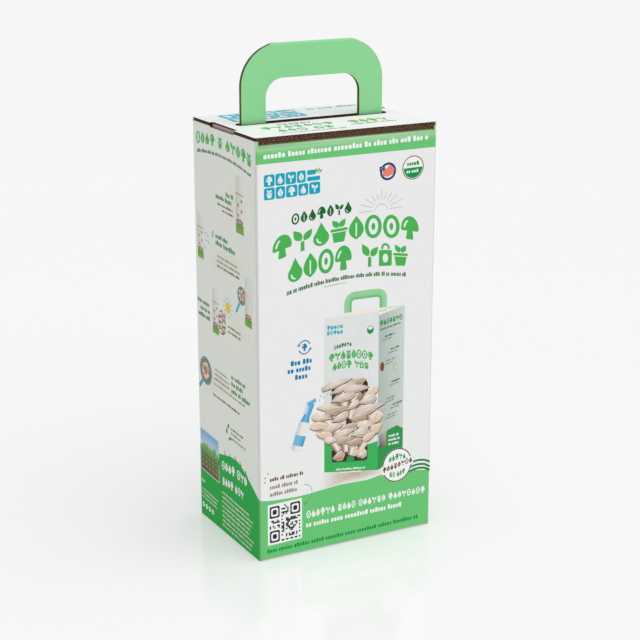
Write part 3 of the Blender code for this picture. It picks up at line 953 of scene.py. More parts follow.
def plastic_material(name, colour, through, rough):
    """Moulded or blown plastic with a faint flow pattern in its colour, sheen and surface."""
    material, tree, shader = start_material(name, colour)
    where = object_place(tree)
    flow = noise(tree, where, 60.0, 3.0)
    shade = tuple(v * 0.86 for v in colour)
    tree.links.new(mix_colour(tree, flow, colour, shade), shader["Base Color"])
    tree.links.new(maths(tree, "MULTIPLY_ADD", noise(tree, where, 300.0), 0.12, rough), shader["Roughness"])
    tree.links.new(bump(tree, flow, 0.0002, 0.4), shader["Normal"])
    shader["Transmission Weight"].default_value = through
    shader["IOR"].default_value = 1.49
    return material


def substrate_material():
    """Pressed straw and sawdust grown through with white threads."""
    material, tree, shader = start_material("grown_through_straw", srgb(196, 170, 132))
    where = object_place(tree)
    cells = node(tree, "ShaderNodeTexVoronoi", {"Vector": where, "Scale": 260.0, "Randomness": 1.0})
    straw = cells.outputs["Distance"]
    chips = mix_colour(tree, noise(tree, where, 420.0, 4.0, 0.7), srgb(122, 90, 60), srgb(206, 178, 132))
    chips = mix_colour(tree, straw, chips, srgb(88, 62, 42))
    grown = part_way(tree, noise(tree, where, 34.0, 6.0, 0.7), 0.46, 0.66)
    tree.links.new(mix_colour(tree, grown, chips, srgb(238, 234, 224)), shader["Base Color"])
    tree.links.new(maths(tree, "MULTIPLY_ADD", straw, 0.2, 0.75), shader["Roughness"])
    tree.links.new(bump(tree, straw, 0.0012), shader["Normal"])
    return material


FILM_PLASTIC = plastic_material("clear_bag_film", (0.97, 0.98, 0.98), 0.96, 0.02)
BOTTLE_PLASTIC = plastic_material("clear_bottle_plastic", (0.78, 0.9, 0.96), 0.7, 0.16)
PUMP_PLASTIC = plastic_material("blue_pump_plastic", srgb(64, 158, 208), 0.0, 0.3)
COVER_PAPER = ink_material("booklet_cover_paper", srgb(238, 241, 234), 0.03)
PAGE_PAPER = ink_material("booklet_page_paper", srgb(244, 241, 230), 0.05)


def straw_block():
    x, y = BLOCK_HALF
    made = block((-x, KIT_Y - y, BLOCK_LOW), (x, KIT_Y + y, BLOCK_HIGH), substrate_material())
    round_edges(made, BLOCK_CORNER, upright, 6)
    apply(made, "REMESH", mode="VOXEL", voxel_size=2.6 * MM)
    lumps = bpy.data.textures.new("straw_lumps", "CLOUDS")
    lumps.noise_scale = 9 * MM
    apply(made, "DISPLACE", texture=lumps, strength=1.1 * MM, mid_level=1.0)
    made.name = made.data.name = "straw_block"
    return made


def along(points, part):
    """The point at this part, 0 to 1, of the way along some joined points."""
    runs = [math.dist(a, b) for a, b in zip(points, points[1:])]
    left = part * sum(runs)
    for (a, b), run in zip(zip(points, points[1:]), runs):
        if left <= run:
            return tuple(p + (q - p) * left / run for p, q in zip(a, b))
        left -= run
    return points[-1]


def film_sheet(name, across, lengthways, shape):
    """A film from a grid: shape(u, v) gives the place in mm of the point this far round and this far up."""
    bpy.ops.object.select_all(action="DESELECT")
    bpy.ops.mesh.primitive_grid_add(x_subdivisions=across, y_subdivisions=lengthways, size=1)
    made = bpy.context.object
    for corner in made.data.vertices:
        corner.co = Vector(shape(corner.co.x + 0.5, corner.co.y + 0.5)) * MM
    made.data.materials.append(FILM_PLASTIC)
    tidy_normals(made, 1e-6)
    apply(made, "SOLIDIFY", thickness=FILM * MM, offset=0.0)
    made.name = made.data.name = name
    return made


def bag_film():
    """A tube of film drawn tight round the block, with its ends brought together in flat seams."""
    reach_x, reach_y = BLOCK_HALF[0] + 0.55, BLOCK_HALF[1] + 0.55
    ring = box_loop(-reach_x, -reach_y, reach_x, reach_y, BLOCK_CORNER + 0.5, 6)
    ring.append(ring[0])

    def shape(u, v):
        x, y = along(ring, u % 1.0)
        end = max(0.0, 0.14 - v, v - 0.86) / 0.14
        rise = min(max((v - 0.14) / 0.72, 0.0), 1.0)
        broad, fine = math.tau * (7 * u + 0.4 * math.sin(9 * v)), math.tau * (19 * u - 3 * v)
        pull = 1 + (0.22 * math.sin(broad) + 0.12 * math.sin(fine)) / reach_x
        pleat = 0.12 * math.sin(math.tau * 30 * u) * end
        z = BLOCK_LOW - 0.45 + rise * (BLOCK_HIGH - BLOCK_LOW + 0.75)
        return x * pull * (1 - 0.14 * end), KIT_Y + y * pull * (1 - 0.98 * end), z + pleat * (1 if v > 0.5 else 0)

    return film_sheet("bag_film", 180, 56, shape)


def bag_folds():
    """The bag's empty top, folded over itself in three flat passes."""
    reach, step, low = 24.0, 1.3, 222.4
    path = [(-reach - 1, low), (reach, low)] + arc(reach, low + step / 2, step / 2, step / 2, -90, 90, 8)
    path += [(-reach, low + step)] + arc(-reach, low + step * 1.5, step / 2, step / 2, 270, 90, 8)
    path += [(reach - 3, low + 2 * step)]

    def shape(u, v):
        y, z = along(path, v)
        x = (u - 0.5) * 110
        return x, KIT_Y + y + 0.25 * math.sin(x / 7), z + 0.22 * math.sin(x / 5 + 8 * v) * math.sin(math.pi * v)

    return film_sheet("bag_folds", 60, 90, shape)


def stapled_booklet():
    """A cover folded round some loose leaves."""
    x, y = BOOKLET_HALF
    low, high = BOOKLET_LOW, BOOKLET_HIGH
    middle, half = (low + high) / 2, (high - low) / 2
    outer = [(x, high)] + arc(half - x, middle, half, half, 90, 270) + [(x, low)]
    inner = [(x, high - 0.25)] + arc(half - x, middle, half - 0.25, half - 0.25, 90, 270) + [(x, low + 0.25)]
    parts = [cut_sheet("cover", [outer + inner[::-1]], 2 * y, COVER_PAPER, plane((0, KIT_Y, 0), RIGHT, UP))]
    for leaf_number in range(6):
        z = low + 0.3 + 0.31 * leaf_number
        short = 0.5 + 0.25 * abs(leaf_number - 2.5)
        parts.append(block((2 - x, KIT_Y + 0.4 - y, z), (x - short, KIT_Y + y - 0.4, z + 0.24), PAGE_PAPER))
    return join("stapled_booklet", parts)


def turned(name, profile, material, steps=48):
    """A shape turned about the bottle's line, from a profile of (along, radius) that starts and ends on it."""
    drawn = curve_outline(name, [profile], 0.0)
    drawn.data.fill_mode = "NONE"
    drawn.data.splines[0].use_cyclic_u = False
    only(drawn)
    bpy.ops.object.convert(target="MESH")
    made = bpy.context.object
    apply(made, "SCREW", axis="X", steps=steps, render_steps=steps, use_merge_vertices=True, merge_threshold=1e-3)
    tidy_normals(made, 1e-3)
    made.data.materials.clear()
    made.data.materials.append(material)
    made.data.transform(Matrix.Scale(MM, 4) @ Matrix.Translation((BOTTLE_START, KIT_Y, BOTTLE_Z)))
    return made


def bottle():
    radius, neck, length, wall = BOTTLE_RADIUS, 8.4, 80.0, 1.2
    outside = [(0.9, 0), (0.2, radius - 4)] + arc(2.5, radius - 2.5, 2.5, 2.5, 180, 90, 6)
    outside += [(12, radius), (12.8, radius - 0.35), (56, radius - 0.35), (56.8, radius)]
    outside += arc(length - 12, neck + 0.6, 12, radius - neck - 0.6, 90, 0, 10)
    outside += [(length, neck), (length + 7.8, neck)]
    inside = [(length + 7.8, neck - wall), (length - 1, neck - wall)]
    inside += arc(length - 12, neck, 10.6, radius - neck - wall, 0, 90, 8)
    inside += [(3, radius - wall), (1.9, radius - 4), (1.9, 0)]
    return turned("bottle", outside + inside, BOTTLE_PLASTIC)


def pump_ring():
    """The screw collar, ribbed for the fingers."""
    profile = [(88.4, 0), (88.4, 8.8), (80.7, 8.8), (80.7, 11.3), (81.4, 11.7), (90.4, 11.7), (91.4, 10.8), (91.5, 0)]
    made = turned("pump_ring", profile, PUMP_PLASTIC, 180)
    for corner in made.data.vertices:
        y, z = corner.co.y / MM - KIT_Y, corner.co.z / MM - BOTTLE_Z
        if math.hypot(y, z) > 11.5:
            shrink = 1 - 0.022 * (0.5 + 0.5 * math.cos(36 * math.atan2(z, y)))
            corner.co.y, corner.co.z = (KIT_Y + y * shrink) * MM, (BOTTLE_Z + z * shrink) * MM
    return made


def pump_button():
    """The pump's push button with its side nozzle and a dished top."""
    profile = [(92.0, 0), (92.0, 4.1), (96.0, 4.1), (96.3, 6.3), (96.8, 6.7), (105.0, 6.7)]
    profile += arc(105.0, 5.4, 1.2, 1.3, 90, 0, 5) + [(105.6, 4.4), (105.0, 2.4), (104.8, 0)]
    button = turned("button", profile, PUMP_PLASTIC)
    nozzle = []
    for radius, low, high in ((1.9, 5.6, 7.1), (0.8, 6.6, 7.25)):
        bpy.ops.object.select_all(action="DESELECT")
        place = Vector((BOTTLE_START + 101.2, KIT_Y, BOTTLE_Z + (low + high) / 2)) * MM
        bpy.ops.mesh.primitive_cylinder_add(vertices=32, radius=radius * MM, depth=(high - low) * MM, location=place)
        bpy.ops.object.transform_apply()
        nozzle.append(bpy.context.object)
        nozzle[-1].data.materials.append(PUMP_PLASTIC)
    apply(nozzle[0], "BEVEL", width=0.3 * MM, segments=3)
    return join("pump_button", [button, *nozzle])


for made, node_name, slot in (
    (straw_block(), "growing_block", "substrate"),
    (bag_film(), "grow_bag", "bag_film"),
    (bag_folds(), "bag_top_fold", "bag_film"),
    (stapled_booklet(), "booklet", "booklet_paper"),
    (bottle(), "bottle_body", "bottle_plastic"),
    (pump_ring(), "pump_collar", "pump_plastic"),
    (pump_button(), "spray_head", "pump_plastic"),
):
    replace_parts(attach(made, "carton"), node_name)


# ---------------------------------------------------------------- drawing for the printed faces


def spun(points, x, y, turn):
    """Points turned by this many degrees about the origin, then moved to (x, y)."""
    cos, sin = math.cos(math.radians(turn)), math.sin(math.radians(turn))
    return [(x + u * cos - v * sin, y + u * sin + v * cos) for u, v in points]


def oval(x, y, rx, ry=None, turn=0.0, steps=18):
    ry = rx if ry is None else ry
    ring = [(rx * math.cos(math.tau * k / steps), ry * math.sin(math.tau * k / steps)) for k in range(steps)]
    return spun(ring, x, y, turn)


def hoop(x, y, radius, width):
    return [oval(x, y, reach, steps=32) for reach in (radius, radius - width)]


def flanks(points, widths):
    """For each point of a path, the points half a width to either side of it."""
    pairs = []
    for i, (x, y) in enumerate(points):
        (ax, ay), (bx, by) = points[max(i - 1, 0)], points[min(i + 1, len(points) - 1)]
        length = math.hypot(bx - ax, by - ay)
        width = widths[i] if isinstance(widths, (list, tuple)) else widths
        nx, ny = (ay - by) / length * width / 2, (bx - ax) / length * width / 2
        pairs.append(((x + nx, y + ny), (x - nx, y - ny)))
    return pairs


def line(points, width):
    """A drawn line of this width, as a closed outline."""
    one, other = zip(*flanks(points, width))
    return [*one, *other[::-1]]


def bar(x0, y0, x1, y1, round_by):
    return box_loop(x0, y0, x1, y1, min(round_by, (x1 - x0) * 0.49, (y1 - y0) * 0.49), 3)


def leaf(x, y, length, width, turn):
    """A leaf that grows out of (x, y) at this angle."""
    steps = 8
    upper = [(length * k / steps, width / 2 * math.sin(math.pi * (k / steps) ** 0.8)) for k in range(steps + 1)]
    return spun(upper + [(u, -v) for u, v in upper[-2:0:-1]], x, y, turn)


def leaves(length, width, *places):
    """Leaves of one size, each at (x, y, angle)."""
    return [leaf(x, y, length, width, turn) for x, y, turn in places]


def moved(loops, x, y, size=1.0, across=1.0):
    return [[(x + u * size * across, y + v * size) for u, v in loop] for loop in loops]


# Marks stand one unit high on y = 0, centred on x = 0. Each comes with its width.
MUSHROOM_FOOT = [
    (-0.34, 0.37), (-0.12, 0.37), (-0.16, 0.04), (-0.1, 0), (0.1, 0), (0.16, 0.04), (0.12, 0.37), (0.34, 0.37),
]
CARTON_GRIP = (
    [(0.2, 0.74)] + arc(0, 0.8, 0.2, 0.2, 0, 180, 8) + [(-0.2, 0.74), (-0.1, 0.74)]
    + arc(0, 0.8, 0.1, 0.1, 180, 0, 6) + [(0.1, 0.74)]
)
MARKS = {
    "mushroom": (
        [arc(0, 0.46, 0.38, 0.54, 0, 180, 14) + MUSHROOM_FOOT, line(arc(0, 0.44, 0.24, 0.38, 170, 112, 6), 0.075)],
        0.76,
    ),
    "drop": (
        [[(0, 1)] + arc(0, 0.33, 0.32, 0.33, 48, -228, 18), line([(-0.17, 0.34), (-0.13, 0.2), (0, 0.12)], 0.07)],
        0.64,
    ),
    "leaf": ([leaf(0, 0, 1.0, 0.62, 90), line([(0, 0.14), (0, 0.7)], 0.06)], 0.6),
    "sprout": (
        [
            [(-0.08, 0), (0.08, 0), (0.07, 0.42), (-0.07, 0.42)],
            leaf(-0.04, 0.46, 0.6, 0.32, 122),
            leaf(0.05, 0.44, 0.52, 0.3, 50),
        ],
        0.74,
    ),
    "ring": ([oval(0, 0.5, 0.35, 0.5, steps=24), oval(0, 0.5, 0.2, 0.35), oval(0, 0.5, 0.08, 0.16, steps=10)], 0.7),
    "pot": (
        [
            [(-0.21, 0), (0.21, 0), (0.29, 0.42), (-0.29, 0.42)],
            bar(-0.35, 0.46, 0.35, 0.58, 0.05),
            *leaves(0.42, 0.24, (-0.02, 0.62, 128)),
            *leaves(0.4, 0.24, (0.03, 0.62, 56)),
        ],
        0.7,
    ),
    "carton": ([bar(-0.3, 0, 0.3, 0.7, 0.05), oval(0, 0.34, 0.13, 0.2, steps=12), CARTON_GRIP], 0.62),
}


def mark_strip(names, gap):
    """Marks side by side in a strip one unit wide and one unit high. A dash is a wide space."""
    loops, x = [], 0.0
    for name in names.split():
        if name == "-":
            x += 0.4
            continue
        shape, width = MARKS[name]
        loops += moved(shape, x + width / 2, 0)
        x += width + gap
    return [[(u / (x - gap), v) for u, v in loop] for loop in loops]


def tile_strip(names):
    """Solid tiles side by side, each with a garden mark cut out of it."""
    loops, x, gap, corner = [], 0.0, 0.07, 0.16
    for name in names.split():
        shape, width = MARKS[name]
        width += 0.14
        loops.append(box_loop(x, 0, x + width, 1, corner, 3))
        loops += moved(shape, x + width / 2, 0.14, 0.72, 0.92)
        x += width + gap
    return [[(u / (x - gap), v) for u, v in loop] for loop in loops]


def between(three, t):
    """A smooth value through three heights, at the left, the middle and the right."""
    a, b, c = three
    return a * (1 - t) * (1 - 2 * t) + 4 * b * t * (1 - t) + c * t * (2 * t - 1)


def arched(loops, left, right, lows, highs):
    """Fits a strip between two lines, so that it bends and swells with them. A single height is a level line."""
    lows, highs = (line_ if isinstance(line_, tuple) else (line_,) * 3 for line_ in (lows, highs))
    return [
        [(left + u * (right - left), between(lows, u) + v * (between(highs, u) - between(lows, u))) for u, v in loop]
        for loop in loops
    ]


def small_print(left, right, low, high, seed, bold=0.0, rise=0.0):
    """A line of small print, as plain blocks in groups as long as words."""
    height, x, loops = high - low, left, []
    in_group = 2 + seed % 5
    for i in range(200):
        k = (seed * 31 + i * 17 + i * i % 7) % 11
        width = height * (0.34 + bold + 0.05 * (k % 5))
        if x + width > right:
            break
        top = high if k in (2, 7, 9) else low + height * 0.76
        shift = rise * (x - left) / (right - left)
        loops.append([(u, v + shift) for u, v in box_loop(x, low, x + width, top, min(width, height) * 0.25, 2)])
        x += width + height * 0.16
        in_group -= 1
        if in_group == 0:
            x += height * 0.4
            in_group = 2 + (k * 3 + i) % 7
    return loops


def word_strip(length, seed, bold=0.0):
    """A line of small print as a strip one unit wide and one unit high."""
    loops = small_print(0, length, 0, 1, seed, bold)
    widest = max(u for loop in loops for u, v in loop)
    return [[(u / widest, v) for u, v in loop] for loop in loops]


def tint(a, b, t):
    return tuple(p + (q - p) * t for p, q in zip(a, b))


PICTURE_LIFT = 0.05
PATCH_STEP = 0.0008


class Picture:
    """A printed picture: painted patches, whose colours run smoothly from corner to corner."""

    def __init__(self):
        self.points, self.faces, self.paint, self.lift = [], [], [], PICTURE_LIFT

    def add(self, x, y, colour):
        self.points.append((x, y, self.lift))
        self.paint.append((*colour, 1.0))
        return len(self.points) - 1

    def patch(self, outline, edge, middle, lit=None, light=(-0.3, 1.0), rings=(1.0, 0.78, 0.45)):
        """A patch that shades from its middle to its edge, and is lit from one side."""
        lit, count, loops = lit or edge, len(outline), []
        cx, cy = (sum(p[k] for p in outline) / count for k in (0, 1))
        length = math.hypot(*light)
        for ring in rings:
            loop = []
            for x, y in outline:
                away = max(math.hypot(x - cx, y - cy), 1e-6)
                facing = ((x - cx) * light[0] + (y - cy) * light[1]) / away / length
                rim = tint(edge, lit, 0.5 + 0.5 * facing)
                loop.append(self.add(cx + (x - cx) * ring, cy + (y - cy) * ring, tint(middle, rim, ring**1.4)))
            loops.append(loop)
        hub = self.add(cx, cy, middle)
        for outer, inner in zip(loops, loops[1:]):
            self.faces += [(outer[k], outer[(k + 1) % count], inner[(k + 1) % count], inner[k]) for k in range(count)]
        self.faces += [(loops[-1][k], loops[-1][(k + 1) % count], hub) for k in range(count)]
        self.lift += PATCH_STEP

    def ribbon(self, points, widths, side, middle, other):
        """A long patch along some points, with one colour at each side and one down the middle."""
        rows = [
            (self.add(*low, side), self.add(*point, middle), self.add(*high, other))
            for point, (high, low) in zip(points, flanks(points, widths))
        ]
        for low, high in zip(rows, rows[1:]):
            self.faces += [(low[0], high[0], high[1], low[1])[::-1], (low[1], high[1], high[2], low[2])[::-1]]
        self.lift += PATCH_STEP

    def corners(self, outline, *colours):
        """A flat shape with its own colour at each corner, or one colour for them all."""
        colours = colours * (len(outline) if len(colours) == 1 else 1)
        self.faces.append(tuple(self.add(*point, colour) for point, colour in zip(outline, colours)))
        self.lift += PATCH_STEP

    def panel(self, x0, y0, x1, y1, *colours):
        """A rectangle with its own colour at each corner, anticlockwise from the lower left."""
        self.corners([(x0, y0), (x1, y0), (x1, y1), (x0, y1)], *colours)

    def finish(self, name):
        mesh = bpy.data.meshes.new(name)
        mesh.from_pydata(self.points, [], self.faces)
        mesh.color_attributes.new("paint", "FLOAT_COLOR", "POINT").data.foreach_set(
            "color", [value for colour in self.paint for value in colour]
        )
        mesh.materials.append(PICTURE_INK)
        made = bpy.data.objects.new(name, mesh)
        bpy.context.scene.collection.objects.link(made)
        face_up(mesh)
        return made


def face_up(mesh):
    for face in mesh.polygons:
        if face.normal.z < 0:
            face.flip()


# How much lower the printed sheet lies, for each square millimetre away from this height.
STRETCH = 0.000165
STRETCH_MIDDLE = 176.0


class Print:
    """The artwork of one face: closed outlines for each ink and layer, and one painted picture."""

    def __init__(self, name, body, origin, right, up, slot="printed_board", rise=0.0, tilt=0.0, layer=1):
        self.name, self.body, self.slot, self.layer = name, body, slot, layer
        self.rise, self.tilt = rise, tilt
        self.origin, self.right, self.up = Vector(origin), Vector(right), Vector(up)
        self.inks, self.picture = {}, Picture()

    def ink(self, colour, loops, layer=None):
        self.inks.setdefault((self.layer if layer is None else layer, colour), []).extend(loops)

    def marks(self, colour, names, left, right, lows, highs, layer=None, gap=0.12):
        """A row of garden marks between two lines."""
        self.ink(colour, arched(mark_strip(names, gap), left, right, lows, highs), layer)

    def words(self, colour, *line_, layer=None, rise=0.0):
        """A line of small print: left, right, low, high, seed, and how much bolder than plain."""
        self.ink(colour, small_print(*line_, rise=rise), layer)

    def paragraph(self, colour, left, right, top, bottom, rows, seed, fill=0.62):
        """Rows of small print from top to bottom, with a ragged right edge."""
        pitch = (top - bottom) / rows
        for row in range(rows):
            low = top - pitch * (row + 1)
            short = 0.12 * (right - left) * ((row * 5 + seed) % 4) / 3
            self.words(colour, left, right - short, low, low + pitch * fill, seed + row)

    def place(self, lift):
        return plane(self.origin + self.right.cross(self.up) * lift, self.right, self.up)

    def registered(self, flat):
        """Shifts the art up the face as the printed sheet was laid on the board: most a little above mid-height."""
        if self.rise:
            for corner in flat.data.vertices:
                corner.co.y += self.rise - STRETCH * (corner.co.y - STRETCH_MIDDLE) ** 2 + self.tilt * corner.co.x
        return flat

    def finish(self):
        layers = []
        for (layer, colour), loops in sorted(self.inks.items()):
            drawn = curve_outline(self.name, loops, 0.0)
            only(drawn)
            bpy.ops.object.convert(target="MESH")
            flat = bpy.context.object
            face_up(flat.data)
            flat.data.materials.clear()
            flat.data.materials.append(INKS[colour])
            self.registered(flat).data.transform(self.place(INK_LIFT + INK_STEP * layer))
            layers.append(flat)
        made = [join(self.name + "_print", layers)]
        if self.picture.faces:
            picture = self.registered(self.picture.finish(self.name + "_picture"))
            picture.data.transform(self.place(0.0))
            made.append(picture)
        for piece in made:
            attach(piece, self.body)


# ---------------------------------------------------------------- pictures of mushrooms, kits and tools

CREAM = srgb(242, 228, 212)
PALE = srgb(246, 236, 226)
FAWN = srgb(206, 178, 152)
UMBER = srgb(112, 84, 62)
DARK_UMBER = srgb(58, 42, 34)
PEACH = srgb(238, 206, 176)
LILAC = srgb(234, 218, 208)
SHADE_GREY = srgb(206, 214, 210)

# The colours of each kind of cap: its edge, its middle and its lit side.
CAP_TONES = ((UMBER, CREAM, PALE), (DARK_UMBER, FAWN, CREAM), (UMBER, LILAC, PALE), (FAWN, PEACH, PALE))
CAP_STEPS = 26


def oyster_cap(picture, x, y, width, height, turn, kind):
    """A fan-shaped cap: drawn in at the stem, with a wavy rim that is pale above and brown below."""
    flip = -1 if (kind + int(abs(x))) % 2 else 1
    outline = []
    for k in range(CAP_STEPS):
        a = math.tau * k / CAP_STEPS
        wave = 1 + 0.05 * math.sin(3 * a + x) + 0.05 * math.sin(7 * a + y)
        u = flip * width / 2 * math.cos(a) * wave
        outline.append((u, height / 2 * math.sin(a) * wave * math.sqrt((1.06 + math.cos(a)) / 2) * 1.25))
    outline = spun(outline, x, y, turn)
    picture.patch([(u + 0.2, v - 0.1 - height * 0.11) for u, v in outline], srgb(128, 100, 78), UMBER)
    edge, middle, lit = CAP_TONES[kind]
    picture.patch(outline, edge, middle, lit, (-0.15, 1.0), (1.0, 0.84, 0.5))
    rim = [outline[k % CAP_STEPS] for k in (range(18, 27) if flip > 0 else range(21, 12, -1))]
    picture.ribbon([(u - 0.1, v + height * 0.05) for u, v in rim], max(height * 0.07, 0.25), PALE, CREAM, FAWN)
    for k in (-1, 1):
        u, v = flip * width * 0.12 * k, height * 0.08 * k
        streak = spun([(u - width * 0.1, v), (u + width * 0.16, v + height * 0.12)], x, y, turn)
        picture.ribbon(streak, [height * 0.06, height * 0.16], middle, tint(middle, UMBER, 0.35), middle)


def gill_fan(picture, x, y, width, height, turn):
    """The underside of a cap, with gills that run out from the stem."""
    turns = [math.radians(180 + 180 * k / 32) for k in range(33)]
    fan = spun([(width / 2 * math.cos(a), height * math.sin(a) * 0.9) for a in turns], x, y, turn)
    rim = [picture.add(*point, UMBER if k % 2 else CREAM) for k, point in enumerate(fan)]
    stem = spun([(-width * 0.08, 0), (width * 0.08, 0)], x, y + height * 0.1, turn)
    left, right = (picture.add(*point, colour) for point, colour in zip(stem, (FAWN, CREAM)))
    picture.faces += [(rim[k], rim[k + 1], left if k < 16 else right) for k in range(32)]
    picture.lift += PATCH_STEP


# The cluster's caps, from the back to the front: (x, y, width, height, turn, kind), over a cluster about 60 wide
CLUSTER = (
    (-9, 27, 25, 5, 9, 0), (8, 26, 15, 5, 2, 1), (-4, 23, 22, 5, 14, 2), (7, 21, 22, 6, -4, 2),
    (19, 16, 14, 6, 26, 3), (-4, 16, 20, 6, 6, 2), (16, 11, 15, 7, 8, 0), (-16, 11, 18, 6, -10, 0),
    (-8, 8, 20, 6, 4, 1), (4, 9, 12, 5, 30, 0), (17, 4, 27, 8, 10, 2), (-21, 5, 16, 6, -14, 0),
    (-6, 2, 14, 6, 16, 2), (-22, -1, 16, 6, -8, 3), (9, -1, 15, 6, -6, 1), (23, -4, 12, 8, 48, 3),
    (-11, -4, 17, 6, 8, 2), (14, -7, 18, 7, -14, 0), (2, -6, 13, 5, 12, 1), (-19, -8, 14, 5, -16, 3),
    (24, -11, 10, 7, 30, 3), (-3, -10, 20, 6, 14, 2), (10, -12, 15, 7, 2, 2), (-13, -13, 12, 5, -10, 0),
    (-2, -15, 14, 5, 4, 1), (18, -16, 12, 5, 20, 3), (5, -18, 13, 5, -4, 1),
)


def mushroom_cluster(picture, x, y, size=1.0):
    shadow = [(x + u * size, y + v * size) for u, v in oval(0, 2, 17, 20, steps=20)]
    picture.patch(shadow, UMBER, DARK_UMBER, FAWN)
    for u, v, width, height, turn, kind in CLUSTER:
        stem = [(x + (u * 0.55) * size, y + (v - 9) * size), (x + u * 0.9 * size, y + (v - 1) * size)]
        picture.ribbon(stem, [4.6 * size, height * 1.5 * size], FAWN, PALE, UMBER)
        if kind in (1, 3):
            fan_y = y + (v - height * 0.1) * size
            gill_fan(picture, x + u * size, fan_y, width * 0.8 * size, height * 0.7 * size, turn)
        oyster_cap(picture, x + u * size, y + v * size, width * size, height * size, turn, kind)


def little_kit(art, x, y, height):
    picture, half = art.picture, height * 0.15
    left, right, shoulder, top = x - half, x + half, y + height * 0.72, y + height
    paper, edge = srgb(236, 234, 226), srgb(206, 204, 192)
    label, label_high = srgb(128, 176, 52), srgb(96, 150, 40)
    picture.panel(left, y, right, shoulder, edge, paper, paper, edge)
    bag = [(left, shoulder), (right, shoulder), (x + half * 0.9, top), (x - half * 0.9, top)]
    picture.corners(bag, SHADE_GREY, paper, paper, SHADE_GREY)
    picture.panel(left, y, right, y + height * 0.17, label, label, label_high, label_high)
    picture.patch(oval(x, y + height * 0.21, half * 0.9, height * 0.05, steps=12), UMBER, FAWN)
    art.ink("orange", [line([(left, y + height * 0.7), (right, y + height * 0.69)], height * 0.02)], 8)
    for k in range(4):
        dot_x, dot_y = x - half * 0.4 + (k % 2) * half * 0.9, y + height * (0.32 + 0.09 * k)
        art.ink("taupe", [oval(dot_x, dot_y, half * 0.22, steps=8)], 8)


def emblem(art, x0, y0, x1, y1, tiles="teal"):
    """A plain two-row emblem of tiles with garden marks, with a sprout at its top right."""
    middle, gap = (y0 + y1) / 2, (y1 - y0) * 0.02
    split = x0 + (x1 - x0) * 0.74
    art.ink(tiles, arched(tile_strip("mushroom drop sprout leaf"), x0, split, middle + gap, y1))
    art.ink(tiles, arched(tile_strip("pot leaf mushroom drop sprout"), x0, x1, y0, middle - gap))
    third, side = (y1 - middle) / 2, x1 - split
    art.ink(tiles, [bar(split + side * 0.1, middle + gap * 2, x1, middle + third * 0.85, 0.3)])
    art.ink(tiles, [bar(split + side * 0.1, middle + third * 1.15, split + side * 0.7, y1 - gap, 0.3)])
    root = (split + side * 0.86, middle + third * 1.3)
    art.ink("leaf", leaves(third * 0.9, third * 0.38, *((*root, turn) for turn in (35, 75, 120))), 2)


BADGE = 8.6


def garden_badge(art, x, y):
    """A round badge: a brown ring, a white sky and a green field with rows."""
    field = [
        (x + BADGE * 0.88 * math.cos(math.radians(a)), y + BADGE * 0.88 * math.sin(math.radians(a)))
        for a in range(180, 361, 15)
    ]
    art.ink("brown", hoop(x, y, BADGE, BADGE * 0.07))
    art.ink("white", [oval(x, y, BADGE * 0.9, steps=30)])
    art.ink("deep", [field], 2)
    art.words("deep", x - BADGE * 0.56, x + BADGE * 0.56, y + BADGE * 0.18, y + BADGE * 0.52, 3, 0.1, layer=2)
    art.words("white", x - BADGE * 0.6, x + BADGE * 0.6, y - BADGE * 0.42, y - BADGE * 0.16, 5, 0.1, layer=3)


def title(art, row_one, row_two, small, layer=1):
    """The arched title: one small row over two big rows of garden marks. Each row is (left, right, lows, highs)."""
    art.marks("dark", "ring leaf drop mushroom leaf sprout drop", *small, layer)
    art.marks("title", "mushroom sprout drop pot leaf ring ring mushroom", *row_one, layer, 0.05)
    art.marks("title", "drop leaf ring mushroom - sprout carton pot", *row_two, layer, 0.05)


MOSAIC_CELLS = 21


def mosaic(art, x0, y0, x1, y1):
    """A white label with a square mosaic of black cells and three round-cornered targets. It says nothing."""
    art.ink("white", [bar(x0, y0, x1, y1, 0.3)], 2)
    last = MOSAIC_CELLS - 7
    left, low = x0 + (x1 - x0) * 0.05, y0 + (x1 - x0) * 0.05
    across, up = (x1 - x0) * 0.9 / MOSAIC_CELLS, (y1 - y0) * 0.9 / MOSAIC_CELLS
    for row in range(MOSAIC_CELLS):
        start = None
        for column in range(MOSAIC_CELLS + 1):
            target = (row < 8 and column < 8) or (row >= last - 1 and (column < 8 or column >= last - 1))
            pattern = (row * 7 + column * 5 + row * column * 3 + (row ^ column)) % 9 < 4
            dark = column < MOSAIC_CELLS and not target and pattern
            if dark and start is None:
                start = column
            if not dark and start is not None:
                (a, b), c = (left + start * across, left + column * across), low + row * up
                art.ink("black", [[(a, c), (b, c), (b, c + up * 0.96), (a, c + up * 0.96)]], 3)
                start = None
    for column, row in ((0, 0), (0, last), (last, last)):
        cx, cy = left + (column + 3.5) * across, low + (row + 3.5) * up
        for grow in (3.4, 2.4, 1.4):
            art.ink("black", [bar(cx - across * grow, cy - up * grow, cx + across * grow, cy + up * grow, across)], 3)


KIT_LAYER = 9


